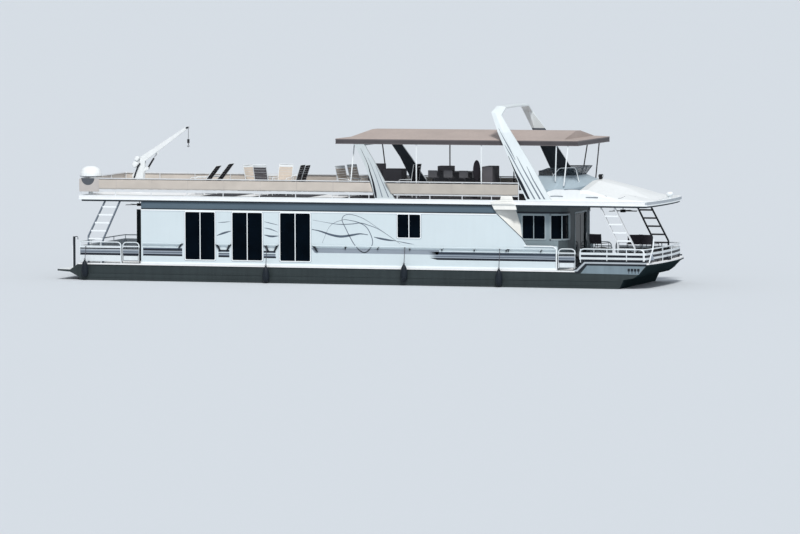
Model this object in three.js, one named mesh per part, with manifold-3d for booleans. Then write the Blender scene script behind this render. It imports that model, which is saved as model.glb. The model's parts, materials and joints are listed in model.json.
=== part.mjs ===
import * as THREE from 'three';
import { mergeVertices } from 'three/addons/utils/BufferGeometryUtils.js';
import Module from 'manifold-3d';

const wasm = await Module();
wasm.setup();

// Millimetres. X runs to the bow, Y to port, Z up. Z = 0 is the flat of the bottom.
const GAP = 0.3;
const HALF_BEAM = 2440;
const PLATFORM_X = -11930;
const STERN_X = -11040;
const BOW_X = 11230;
const BOW_CORNER_X = 11060;
const HULL_Z = 1040;
const FORE_Z = 1345;
const DECK_T = 50;
const DECK_Z = HULL_Z + DECK_T;
const FORE_DECK_Z = FORE_Z + DECK_T;

const WALL_Y = 2380;
const WALL_T = 60;
const CABIN_AFT_X = -8556;
const WALL_TOP = 3133;
const SOFFIT_Z = 3400;
const ROOF_Z = 3475;
const ROOF_T = 150;
const TOP_Z = ROOF_Z + ROOF_T;
const ROOF_AFT_X = -11000;
const ROOF_BOW_X = 11145;
const ROOF_CORNER_X = 10987;

const FRONT_X = 7735;
const FRONT_Y = 1900;
const BULWARK_X = 7600;
const BULWARK_Z = 1966;

const RAIL_Y = 2395;
const RAIL_Z = 4255;

const HARDTOP = { aft: -997, bow: 8298, y: 2100, z0: 5620, z1: 5785, crown: 6095 };

const MAST = { x: -9535, footZ: 3752, topX: -9330, topZ: 4900 };
const BOOM_TIP = { x: -7569, z: 6087 };
const RAM = { lowX: -9151, lowZ: 4546, highX: -8799, highZ: 5092 };

const DRIVE = { x: -10490, y: 900, propX: -10850, propZ: 195 };
const FAN_R = 535;

const white = 0xf2f3f4;
const pale = 0xdfe4ea;
const slate = 0x6f7884;
const dark = 0x2b2c30;
const glassTint = 0x10131c;
const steel = 0xb9bcc0;
const canvasTint = 0x8d8782;

// Positions and faces only, with shared corners joined before the piece is moved into place.
function bare(g) {
  g.deleteAttribute('normal');
  g.deleteAttribute('uv');
  return mergeVertices(g, 0.001);
}

// Solids: union, cut and meet of bare geometries.
function toSolid(g) {
  return new wasm.Manifold(new wasm.Mesh({
    numProp: 3,
    vertProperties: new Float32Array(g.attributes.position.array),
    triVerts: new Uint32Array(g.index.array),
  }));
}

function toGeometry(solid) {
  const mesh = solid.getMesh();
  const g = new THREE.BufferGeometry();
  g.setAttribute('position', new THREE.BufferAttribute(new Float32Array(mesh.vertProperties), 3));
  g.setIndex(new THREE.BufferAttribute(new Uint32Array(mesh.triVerts), 1));
  return g;
}

const fuse = (...list) => toGeometry(list.flat().map(toSolid).reduce((a, b) => a.add(b)));
const cut = (body, ...tools) => (
  toGeometry(tools.flat().map(toSolid).reduce((a, b) => a.subtract(b), toSolid(body))));
const meet = (...list) => toGeometry(list.map(toSolid).reduce((a, b) => a.intersect(b)));

function extrude(points, depth) {
  const shape = new THREE.Shape(points.map(([a, b]) => new THREE.Vector2(a, b)));
  return bare(new THREE.ExtrudeGeometry(shape, { depth, bevelEnabled: false }));
}

// Cuts the same outlines, a little deeper, out of a plate.
function pierced(make, points, from, to, holes) {
  return cut(make(points, from, to), holes.map((h) => make(h, from - 5, to + 5)));
}

// Outline in X and Z, thick along Y from y0 to y1.
function sidePlate(points, y0, y1, holes = []) {
  if (holes.length) return pierced(sidePlate, points, y0, y1, holes);
  return extrude(points, y1 - y0).rotateX(Math.PI / 2).translate(0, y1, 0);
}

// Outline in X and Y, thick along Z from z0 to z1.
function flatPlate(points, z0, z1, holes = []) {
  if (holes.length) return pierced(flatPlate, points, z0, z1, holes);
  return extrude(points, z1 - z0).translate(0, 0, z0);
}

// Outline in Y and Z, thick along X from x0 to x1.
function endPlate(points, x0, x1, holes = []) {
  if (holes.length) return pierced(endPlate, points, x0, x1, holes);
  const turn = new THREE.Matrix4().makeBasis(
    new THREE.Vector3(0, 1, 0), new THREE.Vector3(0, 0, 1), new THREE.Vector3(1, 0, 0));
  return extrude(points, x1 - x0).applyMatrix4(turn).translate(x0, 0, 0);
}

const rect = (a0, a1, b0, b1) => [[a0, b0], [a1, b0], [a1, b1], [a0, b1]];

function block(x0, x1, y0, y1, z0, z1) {
  const g = bare(new THREE.BoxGeometry(x1 - x0, y1 - y0, z1 - z0));
  return g.translate((x0 + x1) / 2, (y0 + y1) / 2, (z0 + z1) / 2);
}

// Round bar between two points.
function bar(a, b, r, sides = 8, rEnd = r) {
  const from = new THREE.Vector3(...a);
  const to = new THREE.Vector3(...b);
  const along = to.clone().sub(from);
  const g = bare(new THREE.CylinderGeometry(rEnd, r, along.length(), sides));
  const up = new THREE.Vector3(0, 1, 0);
  g.applyQuaternion(new THREE.Quaternion().setFromUnitVectors(up, along.clone().normalize()));
  return g.translate(...from.add(to).multiplyScalar(0.5).toArray());
}

// Level tube with mitred bends along plan points, like a bent hand rail.
function levelTube(path, z, r, sides = 8) {
  const rings = path.map(([x, y], i) => {
    const [px, py] = path[Math.max(i - 1, 0)];
    const [qx, qy] = path[Math.min(i + 1, path.length - 1)];
    const a = Math.atan2(y - py, x - px);
    const b = Math.atan2(qy - y, qx - x);
    const before = i === 0 ? b : a;
    const after = i === path.length - 1 ? a : b;
    const mid = (before + after) / 2 + (Math.abs(before - after) > Math.PI ? Math.PI : 0);
    const stretch = 1 / Math.cos(mid - before);
    return [...Array(sides).keys()].map((k) => {
      const t = k * 2 * Math.PI / sides;
      const side = r * Math.cos(t) * stretch;
      return [x + Math.sin(mid) * side, y - Math.cos(mid) * side, z - r * Math.sin(t)];
    });
  });
  return loft(rings);
}

// Round tube along a smooth curve through the points.
function curvedTube(points, r, sides = 8, steps = 10) {
  const ring = [...Array(sides).keys()].map((i) => {
    const a = i * 2 * Math.PI / sides;
    return new THREE.Vector2(r * Math.cos(a), r * Math.sin(a));
  });
  const extrudePath = new THREE.CatmullRomCurve3(points.map((p) => new THREE.Vector3(...p)));
  return bare(new THREE.ExtrudeGeometry(new THREE.Shape(ring), { steps, extrudePath, bevelEnabled: false }));
}

// Flat-sided beam of width w across Y between two points in the X-Z plane.
function beam([ax, az], [bx, bz], y0, y1, w, wEnd = w) {
  const len = Math.hypot(bx - ax, bz - az);
  const nx = -(bz - az) / len;
  const nz = (bx - ax) / len;
  return sidePlate([
    [ax - nx * w / 2, az - nz * w / 2], [bx - nx * wEnd / 2, bz - nz * wEnd / 2],
    [bx + nx * wEnd / 2, bz + nz * wEnd / 2], [ax + nx * w / 2, az + nz * w / 2],
  ], y0, y1);
}

// Solid between rings of points that all have the same count, closed at both ends.
function loft(rings) {
  const n = rings[0].length;
  const position = rings.flat(2);
  const index = [];
  for (let r = 0; r + 1 < rings.length; r++) {
    for (let i = 0; i < n; i++) {
      const a = r * n + i;
      const b = r * n + (i + 1) % n;
      index.push(a, b, b + n, a, b + n, a + n);
    }
  }
  const last = (rings.length - 1) * n;
  for (let i = 1; i + 1 < n; i++) {
    index.push(0, i + 1, i);
    index.push(last, last + i, last + i + 1);
  }
  const g = new THREE.BufferGeometry();
  g.setAttribute('position', new THREE.Float32BufferAttribute(position, 3));
  g.setIndex(index);
  return g;
}

// The same piece on the other side of the boat.
function mirrored(geometry) {
  const g = geometry.clone();
  g.scale(1, -1, 1);
  const index = Array.from(g.index.array);
  for (let i = 0; i < index.length; i += 3) [index[i + 1], index[i + 2]] = [index[i + 2], index[i + 1]];
  g.setIndex(index);
  return g;
}

// Deck plan: square stern and a shallow curved bow. inset draws the sides in.
function plan(aft, cornerX, noseX, half) {
  const curve = [];
  const steps = 6;
  for (let i = -steps; i <= steps; i++) {
    const t = i / steps;
    curve.push([noseX - (noseX - cornerX) * Math.abs(t) ** 2.4, t * (half - 60)]);
  }
  return [[aft, -half], [cornerX - 60, -half], ...curve, [cornerX - 60, half], [aft, half]];
}

// Hull with raked ends and a tunnel under the stern for the drives.
function hull() {
  const profile = [
    [STERN_X, HULL_Z], [STERN_X, 546], [-10848, 450], [-10300, 60], [-10220, 0], [9200, 0], [9950, 430],
    [10122, 787], [10479, 845], [10640, 950], [10990, 1296], [BOW_X + 5, 1300], [BOW_X + 5, FORE_Z],
    [8685, FORE_Z], [8363, HULL_Z],
  ];
  const tunnel = [[STERN_X - 9, -9], [-10240, -9], [-10300, 650], [STERN_X - 9, 700]];
  const section = [
    [-2150, 0], [2150, 0], [HALF_BEAM, 400], [HALF_BEAM, FORE_Z + 9],
    [-HALF_BEAM, FORE_Z + 9], [-HALF_BEAM, 400],
  ];
  const body = cut(meet(
    sidePlate(profile, -HALF_BEAM - 50, HALF_BEAM + 50),
    endPlate(section, STERN_X - 50, BOW_X + 50),
    flatPlate(plan(STERN_X, BOW_CORNER_X, BOW_X, HALF_BEAM + 1), -50, FORE_Z + 50)),
  sidePlate(tunnel, -1500, 1500));
  const brackets = [-1, 1].map((s) => block(-10400, -10200, s * DRIVE.y - 90, s * DRIVE.y + 90, 430, 600));
  return fuse(body, brackets);
}

function swimPlatform() {
  return sidePlate([
    [STERN_X - GAP, 546], [STERN_X - GAP, 1036], [-11120, 1036], [-11430, 822], [PLATFORM_X, 836],
    [PLATFORM_X, 778], [-11430, 741],
  ], -2300, 2300);
}

function mainDeck() {
  const z = HULL_Z + GAP;
  const fz = FORE_Z + GAP;
  const profile = [
    [STERN_X, z], [8363, z], [8685, fz], [BOW_X + 5, fz], [BOW_X + 5, FORE_DECK_Z],
    [8664, FORE_DECK_Z], [8342, DECK_Z], [STERN_X, DECK_Z],
  ];
  return meet(
    sidePlate(profile, -HALF_BEAM - 50, HALF_BEAM + 50),
    flatPlate(plan(STERN_X, BOW_CORNER_X, BOW_X, HALF_BEAM), 900, 1500));
}

const tallWindows = [
  { x0: -6804, x1: -5638 },
  { x0: -4952, x1: -3780 },
  { x0: -3078, x1: -1904 },
];
const TALL = { z0: 1275, z1: 3046, mullion: 24 };
const SMALL = { x0: 1482, x1: 2366, z0: 2201, z1: 3060 };

function paneRects(inset) {
  const list = tallWindows.flatMap(({ x0, x1 }) => {
    const mid = (x0 + x1) / 2;
    return [
      rect(x0 + inset, mid - TALL.mullion / 2 - inset, TALL.z0 + inset, TALL.z1 - inset),
      rect(mid + TALL.mullion / 2 + inset, x1 - inset, TALL.z0 + inset, TALL.z1 - inset),
    ];
  });
  list.push(rect(SMALL.x0 + inset, SMALL.x1 - inset, SMALL.z0 + inset, SMALL.z1 - inset));
  return list;
}

// Side wall with its bulwark, window holes and grab rails.
function sideWall() {
  const base = DECK_Z + GAP;
  const outline = [
    [CABIN_AFT_X, base], [BULWARK_X, base], [BULWARK_X, BULWARK_Z - 40], [BULWARK_X - 40, BULWARK_Z],
    [6467, BULWARK_Z], [6262, 2256], [5300, WALL_TOP - GAP], [CABIN_AFT_X, WALL_TOP - GAP],
  ];
  const wall = sidePlate(outline, -WALL_Y, -WALL_Y + WALL_T, paneRects(0));
  const railTable = [
    { x0: -8480, x1: -6950, z: 1862, posts: [-8300, -7700, -7130] },
    { x0: -5560, x1: -5030, z: 1862, posts: [-5440, -5150] },
    { x0: -3700, x1: -3160, z: 1862, posts: [-3570, -3290] },
    { x0: -1790, x1: 7560, z: 1862, posts: [-1600, -590, 700, 1970, 3200, 4440, 5640, 6960] },
  ];
  const rails = railTable.flatMap(({ x0, x1, z, posts }) => [
    bar([x0, -WALL_Y - 55, z], [x1, -WALL_Y - 55, z], 22, 8),
    ...posts.map((x) => block(x - 45, x + 45, -WALL_Y - 60, -WALL_Y + 1, z - 45, z - 8)),
  ]);
  return fuse(wall, rails);
}

// Panes set in the side wall, carried by one inner top bar.
function sideGlass() {
  const y = -WALL_Y + 8;
  const panes = paneRects(GAP).map((p) => sidePlate(p, y, y + 12));
  const tabs = paneRects(GAP).map(([[x0], [x1], , [, z1]]) => (
    block(x0 + 40, x1 - 40, y + 1, -WALL_Y + WALL_T + 9, z1 - 24, z1)));
  const stripY = -WALL_Y + WALL_T + GAP;
  const strip = block(tallWindows[0].x0, SMALL.x1, stripY, stripY + 8, TALL.z1 - 30, TALL.z1 - GAP);
  return fuse(panes, tabs, strip);
}

// Header band between the wall tops and the ceiling, all round the wide part of the cabin.
function headerBand() {
  const z0 = WALL_TOP;
  const z1 = SOFFIT_Z - GAP;
  const lean = (z) => 5059 + (ROOF_Z - z) * (5276 - 5059) / (ROOF_Z - WALL_TOP);
  const side = [[CABIN_AFT_X, z0], [lean(z0), z0], [lean(z1), z1], [CABIN_AFT_X, z1]];
  const w = WALL_Y - 20;
  const t = 40;
  return cut(sidePlate(side, -w, w),
    block(CABIN_AFT_X + 60, 5000, -w + t, w - t, z0 - 9, z1 + 9),
    block(5046, 5500, -w + t, w - t, z0 - 9, z1 + 9));
}

const AFT_DOOR = { y0: -840, y1: -60, z1: 3040 };

function aftWall() {
  const y = WALL_Y - WALL_T - GAP;
  const outline = rect(-y, y, DECK_Z + GAP, WALL_TOP - GAP);
  const wall = endPlate(outline, CABIN_AFT_X, CABIN_AFT_X + 60, [rect(300, 1900, 1500, 3000)]);
  return cut(
    wall, block(CABIN_AFT_X - 9, CABIN_AFT_X + 69, AFT_DOOR.y0, AFT_DOOR.y1, DECK_Z - 9, AFT_DOOR.z1));
}

function aftWallGlass() {
  return block(CABIN_AFT_X + 20, CABIN_AFT_X + 32, 300 + GAP, 1900 - GAP, 1500 + GAP, 3000 - GAP);
}

// Glass door, standing open at right angles to the aft wall.
function aftDoor() {
  const x1 = CABIN_AFT_X - 8;
  const x0 = x1 - 740;
  const y = AFT_DOOR.y0 + 6;
  const frame = sidePlate(rect(x0, x1, DECK_Z + 12, AFT_DOOR.z1 - 10), y, y + 36,
    [rect(x0 + 66, x1 - 66, DECK_Z + 110, AFT_DOOR.z1 - 80)]);
  const pane = block(x0 + 61, x1 - 61, y + 12, y + 24, DECK_Z + 105, AFT_DOOR.z1 - 75);
  const handle = bar([x0 + 33, y - 40, 2000], [x0 + 33, y - 40, 2250], 10, 6);
  const stubs = [2020, 2230].map((z) => bar([x0 + 33, y + 5, z], [x0 + 33, y - 40, z], 8, 6));
  return fuse(frame, pane, handle, stubs);
}

// Outline of the narrower forward cabin in plan, drawn in by an inset.
function forwardPath(inset) {
  const y = FRONT_Y - inset;
  const x = FRONT_X - inset;
  const r = 520 - inset;
  const pts = [];
  for (let i = 0; i <= 6; i++) {
    const a = -Math.PI / 2 + (i / 6) * Math.PI / 2;
    pts.push([x - r + r * Math.cos(a), -y + r + r * Math.sin(a)]);
  }
  const other = pts.map(([px, py]) => [px, -py]).reverse();
  return [[5780, -y], ...pts, ...other, [5780, y]];
}

const FRONT_DOOR = { y0: -500, y1: 960, z1: 3070 };

function forwardCabin() {
  const ring = [...forwardPath(0), ...forwardPath(50).reverse()];
  const shell = flatPlate(ring, DECK_Z + GAP, SOFFIT_Z - GAP);
  const corner = [[7215, 2000], [8000, 2000], [8000, 1255], [7400, 1255], [7215, 1500]];
  const side = rect(6130, 6990, -2000, 2000);
  const shellWithBulkheads = fuse(shell, fairing(), mirrored(fairing()));
  return cut(shellWithBulkheads,
    flatPlate(corner.map(([x, y]) => [x, -y]).reverse(), 2200, 3062),
    flatPlate(corner.reverse(), 2200, 3062),
    flatPlate(side, 2200, 3062),
    block(7600, 7800, FRONT_DOOR.y0, FRONT_DOOR.y1, 1000, FRONT_DOOR.z1));
}

// Tinted liner behind the forward windows, carried over the door.
function forwardGlass() {
  const ring = [...forwardPath(50 + GAP), ...forwardPath(60).reverse()];
  const sheet = flatPlate(ring, 2120, 3160);
  return cut(sheet, block(7600, 7800, FRONT_DOOR.y0 - 60, FRONT_DOOR.y1 + 60, 1000, 3110));
}

function doorLeaf(x0, y0, y1) {
  const z0 = DECK_Z + 10;
  const z1 = FRONT_DOOR.z1 - 10;
  const frame = endPlate(rect(y0, y1, z0, z1), x0, x0 + 24, [rect(y0 + 50, y1 - 50, z0 + 80, z1 - 50)]);
  return fuse(frame, block(x0 + 8, x0 + 16, y0 + 40, y1 - 40, z0 + 70, z1 - 40));
}

// Bulkhead turning in from the side wall to the narrower forward cabin.
function fairing() {
  const t = 40;
  const levels = [
    { z: DECK_Z + GAP, wall: 6440, cabin: 6105 },
    { z: BULWARK_Z, wall: 6440, cabin: 6105 },
    { z: 2250, wall: 6245, cabin: 6105 },
    { z: 2780, wall: 5670, cabin: 6038 },
    { z: WALL_TOP, wall: 5283, cabin: 5930 },
    { z: SOFFIT_Z - GAP, wall: 5095, cabin: 5840 },
  ];
  return loft(levels.map(({ z, wall, cabin }) => [
    [wall, -WALL_Y + WALL_T + GAP, z], [cabin, -FRONT_Y + 20, z],
    [cabin - t, -FRONT_Y + 20, z], [wall - t, -WALL_Y + WALL_T + GAP, z],
  ]));
}

// Dark ceiling and lip under the upper deck, with the two fan stems.
function soffit() {
  const outline = plan(ROOF_AFT_X + 90, ROOF_CORNER_X - 60, ROOF_BOW_X - 80, HALF_BEAM - 45);
  const plate = flatPlate(outline, SOFFIT_Z, ROOF_Z - GAP);
  const stems = [-9501, 9410].map((x) => bar([x, 0, 3225], [x, 0, SOFFIT_Z + 20], 16, 8));
  return fuse(plate, stems);
}

// Upper deck with the fixed foot of the crane and the moulded hood over each side fairing.
function upperDeck() {
  const hood = fuse(
    sidePlate([
      [5100, ROOF_Z], [6020, ROOF_Z], [5940, 3640], [5890, 3780], [5480, 3780], [5465, 3650], [5105, 3560]],
      -HALF_BEAM - 34, -HALF_BEAM + 8),
    sidePlate([[5125, ROOF_Z + 5], [5215, 3285], [6065, 3285], [6010, ROOF_Z + 5]],
      -HALF_BEAM, -HALF_BEAM + 42));
  return fuse(
    hood, mirrored(hood),
    flatPlate(plan(ROOF_AFT_X, ROOF_CORNER_X, ROOF_BOW_X, HALF_BEAM), ROOF_Z, TOP_Z),
    bar([MAST.x, 0, TOP_Z - 20], [MAST.x, 0, 3745], 170, 16));
}

// Nose fairing ahead of the helm, with low coamings running aft beside it.
function brow() {
  const z0 = TOP_Z + GAP;
  // edge and flank are the shares of the height reached near the side and at 0.6 of the half width.
  const stations = [
    { x: 8420, half: 2330, z: 4310, edge: 0.56, flank: 0.76 },
    { x: 8675, half: 2330, z: 4329, edge: 0.56, flank: 0.76 },
    { x: 9000, half: 2325, z: 4250, edge: 0.48, flank: 0.7 },
    { x: 9800, half: 2310, z: 4050, edge: 0.22, flank: 0.58 },
    { x: 10828, half: 2250, z: 3760, edge: 0.2, flank: 0.58 },
    { x: 11050, half: 1700, z: 3680, edge: 0.2, flank: 0.58 },
  ];
  const ring = ({ x, half, z, edge, flank }) => {
    const at = (y, share) => [x, y, z0 + (z - z0) * share];
    const side = [
      at(half, 0), at(half - 8, edge * 0.7), at(half - 90, edge),
      at(half * 0.6, flank), at(half * 0.25, 0.96),
    ];
    return [...side.map(([, y, h]) => [x, -y, h]).reverse(), ...side, at(0, 1)];
  };
  const nose = loft(stations.map(ring));
  const coaming = [
    [7150, z0], [8450, z0], [8450, 4020], [8300, 4035], [7480, 4035], [7230, 3960], [7150, 3880],
  ];
  return fuse(nose, searchlight(), sidePlate(coaming, -2330, -2270), sidePlate(coaming, 2270, 2330));
}

// Open path from a starboard half in plan, carried round to port.
const roundPath = (half) => [...half.map(([x, y, z]) => [x, -y, z]), ...[...half].reverse()];

// The same path drawn in by t.
function inward(path, t) {
  return path.map(([x, y, z], i) => {
    const [px, py] = path[Math.max(i - 1, 0)];
    const [qx, qy] = path[Math.min(i + 1, path.length - 1)];
    const len = Math.hypot(qx - px, qy - py);
    return [x - (qy - py) / len * t, y + (qx - px) / len * t, z];
  });
}

// Wall between U-shaped rings, t thick, from tables of starboard points.
function wallLoft(halves, t) {
  const rings = halves.map((half) => [...roundPath(half), ...inward(roundPath(half), t).reverse()]);
  const n = rings[0].length;
  const index = [];
  for (let r = 0; r + 1 < rings.length; r++) {
    for (let i = 0; i < n; i++) {
      const a = r * n + i;
      const b = r * n + (i + 1) % n;
      index.push(a, b, b + n, a, b + n, a + n);
    }
  }
  const top = (rings.length - 1) * n;
  for (let i = 0; i + 1 < n / 2; i++) {
    const a = n - 1 - i;
    index.push(i, a, a - 1, i, a - 1, i + 1);
    index.push(top + i, top + i + 1, top + a - 1, top + i, top + a - 1, top + a);
  }
  const g = new THREE.BufferGeometry();
  g.setAttribute('position', new THREE.Float32BufferAttribute(rings.flat(2), 3));
  g.setIndex(index);
  return g;
}

const COWL_Z = 4483;

// Moulded base round the helm: upright sides that slope in to the foot of the screen.
function helmCowl() {
  const z0 = TOP_Z + GAP;
  return wallLoft([
    [[6560, 2262, z0], [7400, 2255, z0], [8130, 2000, z0], [8400, 1300, z0], [8410, 250, z0]],
    [[6560, 2256, 4000], [7400, 2250, 4040], [8130, 1980, 4070], [8400, 1300, 4150], [8410, 250, 4290]],
    [
      [6560, 1310, COWL_Z], [7400, 1210, COWL_Z], [7720, 880, COWL_Z], [7860, 520, COWL_Z],
      [7890, 200, COWL_Z],
    ],
  ], 50);
}

function helmScreen() {
  const z0 = COWL_Z + GAP;
  return wallLoft([
    [[6575, 1292, z0], [7394, 1192, z0], [7706, 868, z0], [7842, 512, z0], [7872, 198, z0]],
    [[6600, 1245, 4640], [6880, 1130, 4750], [7620, 1100, 4760], [7930, 1040, 4768], [7960, 300, 4775]],
  ], 12);
}

function helmConsole() {
  const z0 = TOP_Z + GAP;
  const desk = [[7350, z0], [7720, z0], [7720, 4430], [7600, 4440], [7330, 4260]];
  return sidePlate(desk, -540, 540);
}

function helmWheel() {
  const g = bare(new THREE.TorusGeometry(190, 14, 6, 16));
  const hub = bare(new THREE.CylinderGeometry(45, 45, 60, 10)).rotateX(Math.PI / 2);
  const spokes = [0, 1, 2].map((i) => {
    const a = Math.PI / 2 + i * 2 * Math.PI / 3;
    return bar([0, 0, 0], [185 * Math.cos(a), 185 * Math.sin(a), 0], 10, 6);
  });
  return fuse(g, hub, spokes).rotateY(-Math.PI / 2 + 0.35).translate(7240, 0, 4330);
}

function helmSeat() {
  const z0 = TOP_Z + GAP;
  return fuse(
    block(6500, 6860, -620, 620, z0, 4060),
    block(6440, 6920, -680, 680, 4050, 4170),
    sidePlate([[6440, 4160], [6550, 4160], [6470, 4640], [6380, 4640]], -680, 680));
}

// Bar under the hardtop, with its stools on foot rails that run out from the counter.
function barCounter() {
  const z0 = TOP_Z + GAP;
  const xs = [2500, 3100, 3700, 4200];
  const counter = [block(2300, 4300, -700, -100, z0, 4530), block(2200, 4400, -800, 0, 4520, 4570)];
  const rails = xs.map((x) => block(x - 30, x + 30, -1160, -690, z0, z0 + 40));
  return fuse(counter, rails, xs.flatMap((x) => [
    bar([x, -1130, z0 + 20], [x, -1130, 4360], 30, 8),
    bar([x, -1130, 4350], [x, -1130, 4420], 180, 12),
    block(x - 170, x + 170, -1320, -1290, 4380, 4640),
    block(x - 150, x + 150, -1300, -1130, 4360, 4400),
  ]));
}

function hardtopFrame() {
  const { aft, bow, y, z0, z1 } = HARDTOP;
  const ring = flatPlate([...rect(aft, bow, -y, y)], z0, z1, [rect(aft + 90, bow - 90, -y + 90, y - 90)]);
  const beams = [-420, 900, 2900, 4900, 6900].map((x) => block(x - 40, x + 40, -y + 60, y - 60, z0 + 60, z1));
  const poleTable = [
    { top: -420, topY: 1600, topZ: z0 + 80, foot: -400, footY: 2335, footZ: TOP_Z + 8 },
    { top: 2112, topY: y - 45, topZ: z0 + 20, foot: 2112, footY: 2050, footZ: TOP_Z + 4 },
    { top: 4608, topY: y - 45, topZ: z0 + 20, foot: 4608, footY: 2050, footZ: TOP_Z + 4 },
    { top: 7475, topY: y - 45, topZ: z0 + 20, foot: 7340, footY: 1750, footZ: 4300 },
    { top: 7919, topY: y - 45, topZ: z0 + 20, foot: 7760, footY: 2080, footZ: 4160 },
  ];
  const poles = poleTable.flatMap(({ top, topY, topZ, foot, footY, footZ }) => [-1, 1].map((side) =>
    bar([foot, side * footY, footZ], [top, side * topY, topZ], 24, 8)));
  return fuse(ring, beams, poles);
}

// Cover stretched over the hardtop frame, low at its rim and steep up to the long flat crown.
function hardtopCover() {
  const { aft, bow, y, z1, crown } = HARDTOP;
  const z0 = z1 + GAP;
  const ring = (x0, x1, w, z) => [[x0, -w, z], [x1, -w, z], [x1, w, z], [x0, w, z]];
  const outer = loft([
    ring(aft, bow, y, z0), ring(aft, bow, y, z0 + 25), ring(aft + 450, bow - 560, y - 120, z0 + 55),
    ring(aft + 830, bow - 600, 300, crown),
  ]);
  const inner = loft([
    ring(aft + 70, bow - 70, y - 70, z0 - 10), ring(aft + 70, bow - 70, y - 70, z0 + 20),
    ring(aft + 480, bow - 590, y - 160, z0 + 25), ring(aft + 860, bow - 630, 280, crown - 35),
  ]);
  return cut(outer, inner);
}

// One leg of an arch: side outline at its foot and head, leaning inboard.
function archLeg(levels, t) {
  return loft(levels.map(({ z, aft, bow, y }) => [
    [aft, -y - t / 2, z], [bow, -y - t / 2, z], [bow, -y + t / 2, z], [aft, -y + t / 2, z],
  ]));
}

function aftArch() {
  const leg = archLeg([
    { z: TOP_Z + GAP, aft: 637, bow: 1383, y: 2390 },
    { z: 4300, aft: 430, bow: 960, y: 2310 },
    { z: 4950, aft: 130, bow: 560, y: 2190 },
    { z: HARDTOP.z0 - GAP, aft: -285, bow: 103, y: 2050 },
  ], 90);
  return fuse(leg, mirrored(leg), block(-270, 90, -2060, 2060, HARDTOP.z0 - 60, HARDTOP.z0 - GAP));
}

// Portal arch: legs that lean aft and inboard, folded over at the top into a thin bridge.
function forwardArch() {
  // y is the outer face; across and down lead from there to the inner face. The inner face has a ridge that
  // stands ridge proud, at the share fold of the width.
  const levels = [
    { aft: [6437, TOP_Z + GAP], bow: [7372, TOP_Z + GAP], y: 2420,
      across: 60, down: 0, ridge: 24, fold: 0.42 },
    { aft: [5973, 4571], bow: [6803, 4571], y: 2325,
      across: 60, down: 0, ridge: 24, fold: 0.42 },
    { aft: [5677, 5235], bow: [6380, 5235], y: 2250,
      across: 60, down: 0, ridge: 24, fold: 0.35 },
    { aft: [5280, 6096], bow: [5797, 6096], y: 2190,
      across: 60, down: 0, ridge: 40, fold: 0.2 },
    { aft: [4979, 6825], bow: [5365, 6722], y: 2000,
      across: 55, down: 25, ridge: 80, fold: 0.75 },
    { aft: [5030, 7035], bow: [5375, 6990], y: 1450,
      across: 20, down: 55, ridge: 24, fold: 0.6 },
    { aft: [5040, 7045], bow: [5380, 7005], y: 0,
      across: 0, down: 55, ridge: 24, fold: 0.5 },
  ];
  const CREASE = 24;
  const ring = (side) => ({ aft, bow, y, across, down, ridge, fold }) => {
    const size = Math.hypot(across, down);
    const along = (share) => [aft[0] + (bow[0] - aft[0]) * share, aft[1] + (bow[1] - aft[1]) * share];
    const [midX, midZ] = along(0.42);
    const [foldX, foldZ] = along(fold);
    const out = [across / size, down / size];
    return [
      [aft[0], side * y, aft[1]],
      [midX, side * (y + out[0] * CREASE), midZ + out[1] * CREASE],
      [bow[0], side * y, bow[1]],
      [bow[0], side * (y - across), bow[1] - down],
      [foldX, side * (y - across - out[0] * ridge), foldZ - down - out[1] * ridge],
      [aft[0], side * (y - across), aft[1] - down],
    ];
  };
  return loft([...levels.map(ring(-1)), ...levels.slice(0, -1).map(ring(1)).reverse()]);
}

// Upper-deck railing: top tube, low boards through their own plan points, and posts.
function railing(topPoints, boardPoints, [low, high], posts) {
  const z0 = TOP_Z + GAP;
  const tops = levelTube(topPoints, RAIL_Z, 22);
  const boards = boardPoints.slice(1).map(([bx, by], i) => {
    const [ax, ay] = boardPoints[i];
    return block(
      Math.min(ax, bx) - 18, Math.max(ax, bx) + 18, Math.min(ay, by) - 18, Math.max(ay, by) + 18, low, high);
  });
  return fuse(tops, boards, posts.map(([x, y]) => bar([x, y, z0], [x, y, RAIL_Z], 18, 8)));
}

const AFT_RAIL_X = -10940;
const AFT_RAIL = {
  tube: 415, board: 535, boardZ: [3756, 3852], canvasLow: 552, canvasHigh: 436, z0: 3862, z1: 4228,
};
const FORE_RAIL = {
  tube: 990, board: 1365, boardZ: [3758, 3800],
  canvasLow: 1245, canvasHigh: 1015, z0: 3803, z1: 4215, x1: 6130,
};
const CANVAS_Y = RAIL_Y + 24;
const CANVAS_T = 6;

function aftRail() {
  const xs = [390, -1040, -2460, -3880, -5300, -6720, -8140, -9560];
  const posts = xs.flatMap((x) => [[x, -RAIL_Y], [x, RAIL_Y]]);
  posts.push([AFT_RAIL_X, -RAIL_Y], [AFT_RAIL_X, RAIL_Y], [AFT_RAIL_X, -800], [AFT_RAIL_X, 800]);
  const around = (end) => [[end, -RAIL_Y], [AFT_RAIL_X, -RAIL_Y], [AFT_RAIL_X, RAIL_Y], [end, RAIL_Y]];
  return railing(around(AFT_RAIL.tube), around(AFT_RAIL.board), AFT_RAIL.boardZ, posts);
}

function foreRail() {
  const { tube, board, boardZ, x1 } = FORE_RAIL;
  const posts = [1480, 2740, 3980, 5100, x1].map((x) => [x, -RAIL_Y]);
  return railing([[tube, -RAIL_Y], [x1, -RAIL_Y]], [[board, -RAIL_Y], [x1, -RAIL_Y]], boardZ, posts);
}

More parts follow.
